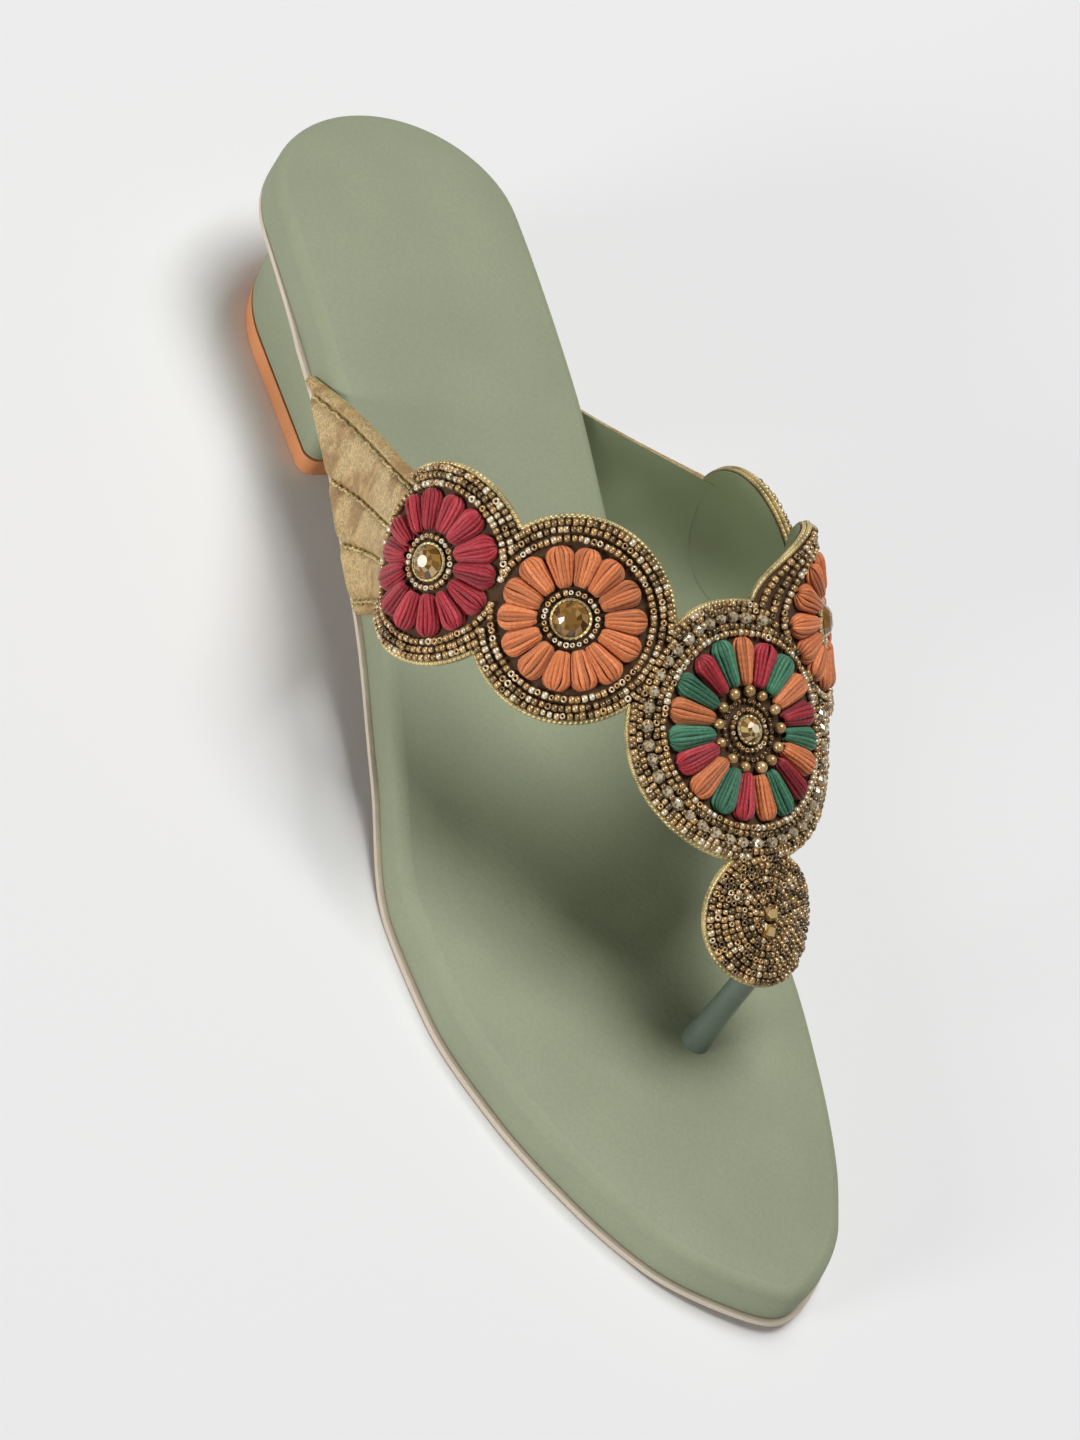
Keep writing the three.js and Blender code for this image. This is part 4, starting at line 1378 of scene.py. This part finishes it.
class SANDAL_OT_trim(bpy.types.Operator):
    """Lay the gold piping on the outline and the stitch lines on the arms."""

    bl_idname = "sandal.trim"
    bl_label = "Piping and stitches"

    def execute(self, context):
        made = model()
        wall = made.sizes.strap_wall
        radius = 0.5 * made.sizes.piping_size
        shape = Shape()
        for disc in made.discs.values():
            turn = np.linspace(-math.pi, math.pi, 361)
            rim = disc.radius - radius
            x, y = rim * np.cos(turn), rim * np.sin(turn)
            for run in runs(made.free(disc, x, y)):
                outward = disc.axes_at(x[run], y[run])[1][:, 2]
                for lift, swell in ((-0.1 * MM, 1), (-0.55 * wall, 0.9)):
                    path = disc.on(x[run], y[run], lift)
                    tube(shape, path, outward, swell * radius, 0, 0.5, 8)
        dress(shape.build("gold_piping", [gold_cord()], 180), "piping_gold")

        shape = Shape()
        draw = np.random.default_rng(80)
        steps = 24
        for arm in made.arms:
            for line in STITCH_LINES:
                for step in range(steps):
                    share = (step + np.linspace(0.06, 0.9, 6)) / steps * 0.97 + 0.02
                    slant = 0.012 * (1 if step % 2 else -1) * np.linspace(-1, 1, 6)
                    x, y = arm.spot(share, line + slant + draw.uniform(-0.005, 0.005))
                    long, cross = arm.find(x, y)
                    bow = 0.25 * MM * np.sin(np.linspace(0, math.pi, 6))
                    path = arm.on(x, y, -0.05 * MM + bow)
                    tube(shape, path, made.strap.ways(long, cross)[1], 0.32 * MM, 0, 0.7, 6)
        dress(shape.build("arm_stitches", [gold_cord()], 180), "piping_gold")
        return {"FINISHED"}


def runs(flags):
    """Index runs where the flags hold, on a closed ring of samples."""
    flags = list(flags)
    count = len(flags)
    if all(flags):
        return [list(range(count))]
    start = flags.index(False)
    order = [(start + k) % count for k in range(count)]
    found, run = [], []
    for index in order:
        if flags[index]:
            run.append(index)
        elif run:
            found.append(run)
            run = []
    if run:
        found.append(run)
    return [run for run in found if len(run) > 3]


POST_RADIUS = 2.8 * MM
POST_TAPER = 0.85
POST_REACH = 7.5 * MM
POST_FORWARD = 7.7 * MM
POST_ASIDE = 2.3 * MM


class SANDAL_OT_post(bpy.types.Operator):
    """Make the glossy post between the first two toes."""

    bl_idname = "sandal.post"
    bl_label = "Toe post"

    def execute(self, context):
        made = model()
        sole = made.sole
        drop = made.discs["drop"].middle
        along = sole.origin - drop[1] + POST_FORWARD
        foot = sole.at(drop[0] - POST_ASIDE, along, sole.underside(along) + FOOTBED_TOP - 0.2 * MM)
        long = np.array([made.discs["centre"].long])
        cross = np.array([(DROP_DISTANCE + POST_REACH) / NOSE_REACH])
        outward = made.strap.ways(long, cross)[1][0]
        top = made.strap.lining(long, cross)[0]
        shape = Shape()
        share = np.linspace(0, 1, 24)[:, None, None]
        turn = np.linspace(0, TAU, 24, endpoint=False)
        low = np.stack([np.cos(turn), np.sin(turn), 0 * turn], axis=-1) * POST_RADIUS
        high = low * POST_TAPER
        high[:, 2] = -(high[:, 0] * outward[0] + high[:, 1] * outward[1]) / outward[2]
        waist = 1 - 0.1 * np.sin(math.pi * share)
        rows = (foot + low * waist) * (1 - share) + (top + high * waist) * share
        shape.grid(rows, loop_columns=True)
        piece = shape.build("toe_post_cover", [post_gloss()], 60)
        dress(piece, "post_gloss", "toe_post")
        return {"FINISHED"}


# The camera, as it stood to the sandal: metres from the origin, and turns in degrees.
CAMERA_PLACE = (-0.3658, -0.4139, 0.5121)
CAMERA_AZIMUTH = -48.92
CAMERA_ELEVATION = 45.62
CAMERA_ROLL = 36.9
CAMERA_LENS = 95.8


class SANDAL_OT_stage(bpy.types.Operator):
    """Set the pale floor, the soft lights and the camera."""

    bl_idname = "sandal.stage"
    bl_label = "Stage"

    def execute(self, context):
        scene = context.scene
        scene.view_settings.view_transform = "Standard"
        shape = Shape()
        half = 3.0
        corners = [(-half, -half, 0), (half, -half, 0), (half, half, 0), (-half, half, 0)]
        shape.add(corners, [(0, 1, 2, 3)])
        floor = shape.build("floor", [floor_paint()])

        world = bpy.data.worlds.new("studio")
        world.use_nodes = True
        sky = world.node_tree.nodes["Background"]
        sky.inputs["Color"].default_value = (1, 1, 1, 1)
        sky.inputs["Strength"].default_value = 0.12
        scene.world = world
        for name, place, size, power in (
            ("key", (0.5, 0.4, 3.4), 1.9, 102),
            ("side", (-2.2, -0.5, 0.3), 0.55, 27),
            ("spark", (0.3, 0.9, 1.6), 0.1, 1.2),
        ):
            light = bpy.data.lights.new(name, "AREA")
            light.size = size
            light.energy = power
            lamp = bpy.data.objects.new(name, light)
            lamp.location = place
            lamp.rotation_euler = (-Vector(place)).to_track_quat("-Z", "Y").to_euler()
            context.collection.objects.link(lamp)

        lens = bpy.data.cameras.new("camera")
        lens.lens = CAMERA_LENS
        lens.clip_start = 0.01
        lens.clip_end = 20
        camera = bpy.data.objects.new("camera", lens)
        azimuth, elevation, roll = (math.radians(v) for v in (CAMERA_AZIMUTH, CAMERA_ELEVATION, CAMERA_ROLL))
        flat = math.cos(elevation)
        forward = Vector((-math.sin(azimuth) * flat, math.cos(azimuth) * flat, -math.sin(elevation)))
        level = forward.cross(Vector((0, 0, 1))).normalized()
        upright = level.cross(forward)
        right = level * math.cos(roll) + upright * math.sin(roll)
        rows = Matrix((right, right.cross(forward) * -1, -forward)).transposed()
        rows.col[1] = (-forward).cross(right)
        camera.matrix_world = Matrix.Translation(CAMERA_PLACE) @ rows.to_4x4()
        context.collection.objects.link(camera)
        scene.camera = camera
        return {"FINISHED"}


class SANDAL_PT_panel(bpy.types.Panel):
    """Lists the sandal's sizes, colours and steps."""

    bl_idname = "SANDAL_PT_panel"
    bl_label = "Sandal"
    bl_space_type = "VIEW_3D"
    bl_region_type = "UI"
    bl_category = "Sandal"

    def draw(self, context):
        for group in (context.scene.sandal_sizes, context.scene.sandal_colours):
            box = self.layout.box()
            for name in group.__annotations__:
                box.prop(group, name)
        for operator in OPERATORS:
            self.layout.operator(operator.bl_idname)


OPERATORS = (
    SANDAL_OT_stage,
    SANDAL_OT_sole,
    SANDAL_OT_heel,
    SANDAL_OT_strap,
    SANDAL_OT_flowers,
    SANDAL_OT_beads,
    SANDAL_OT_stones,
    SANDAL_OT_trim,
    SANDAL_OT_post,
)
CLASSES = (SandalSizes, SandalColours, *OPERATORS, SANDAL_PT_panel)


def register():
    for item in CLASSES:
        bpy.utils.register_class(item)
    bpy.types.Scene.sandal_sizes = PointerProperty(type=SandalSizes)
    bpy.types.Scene.sandal_colours = PointerProperty(type=SandalColours)


def unregister():
    del bpy.types.Scene.sandal_colours
    del bpy.types.Scene.sandal_sizes
    for item in reversed(CLASSES):
        bpy.utils.unregister_class(item)


def main():
    register()
    for operator in OPERATORS:
        group, name = operator.bl_idname.split(".")
        getattr(getattr(bpy.ops, group), name)()


if __name__ == "__main__":
    main()
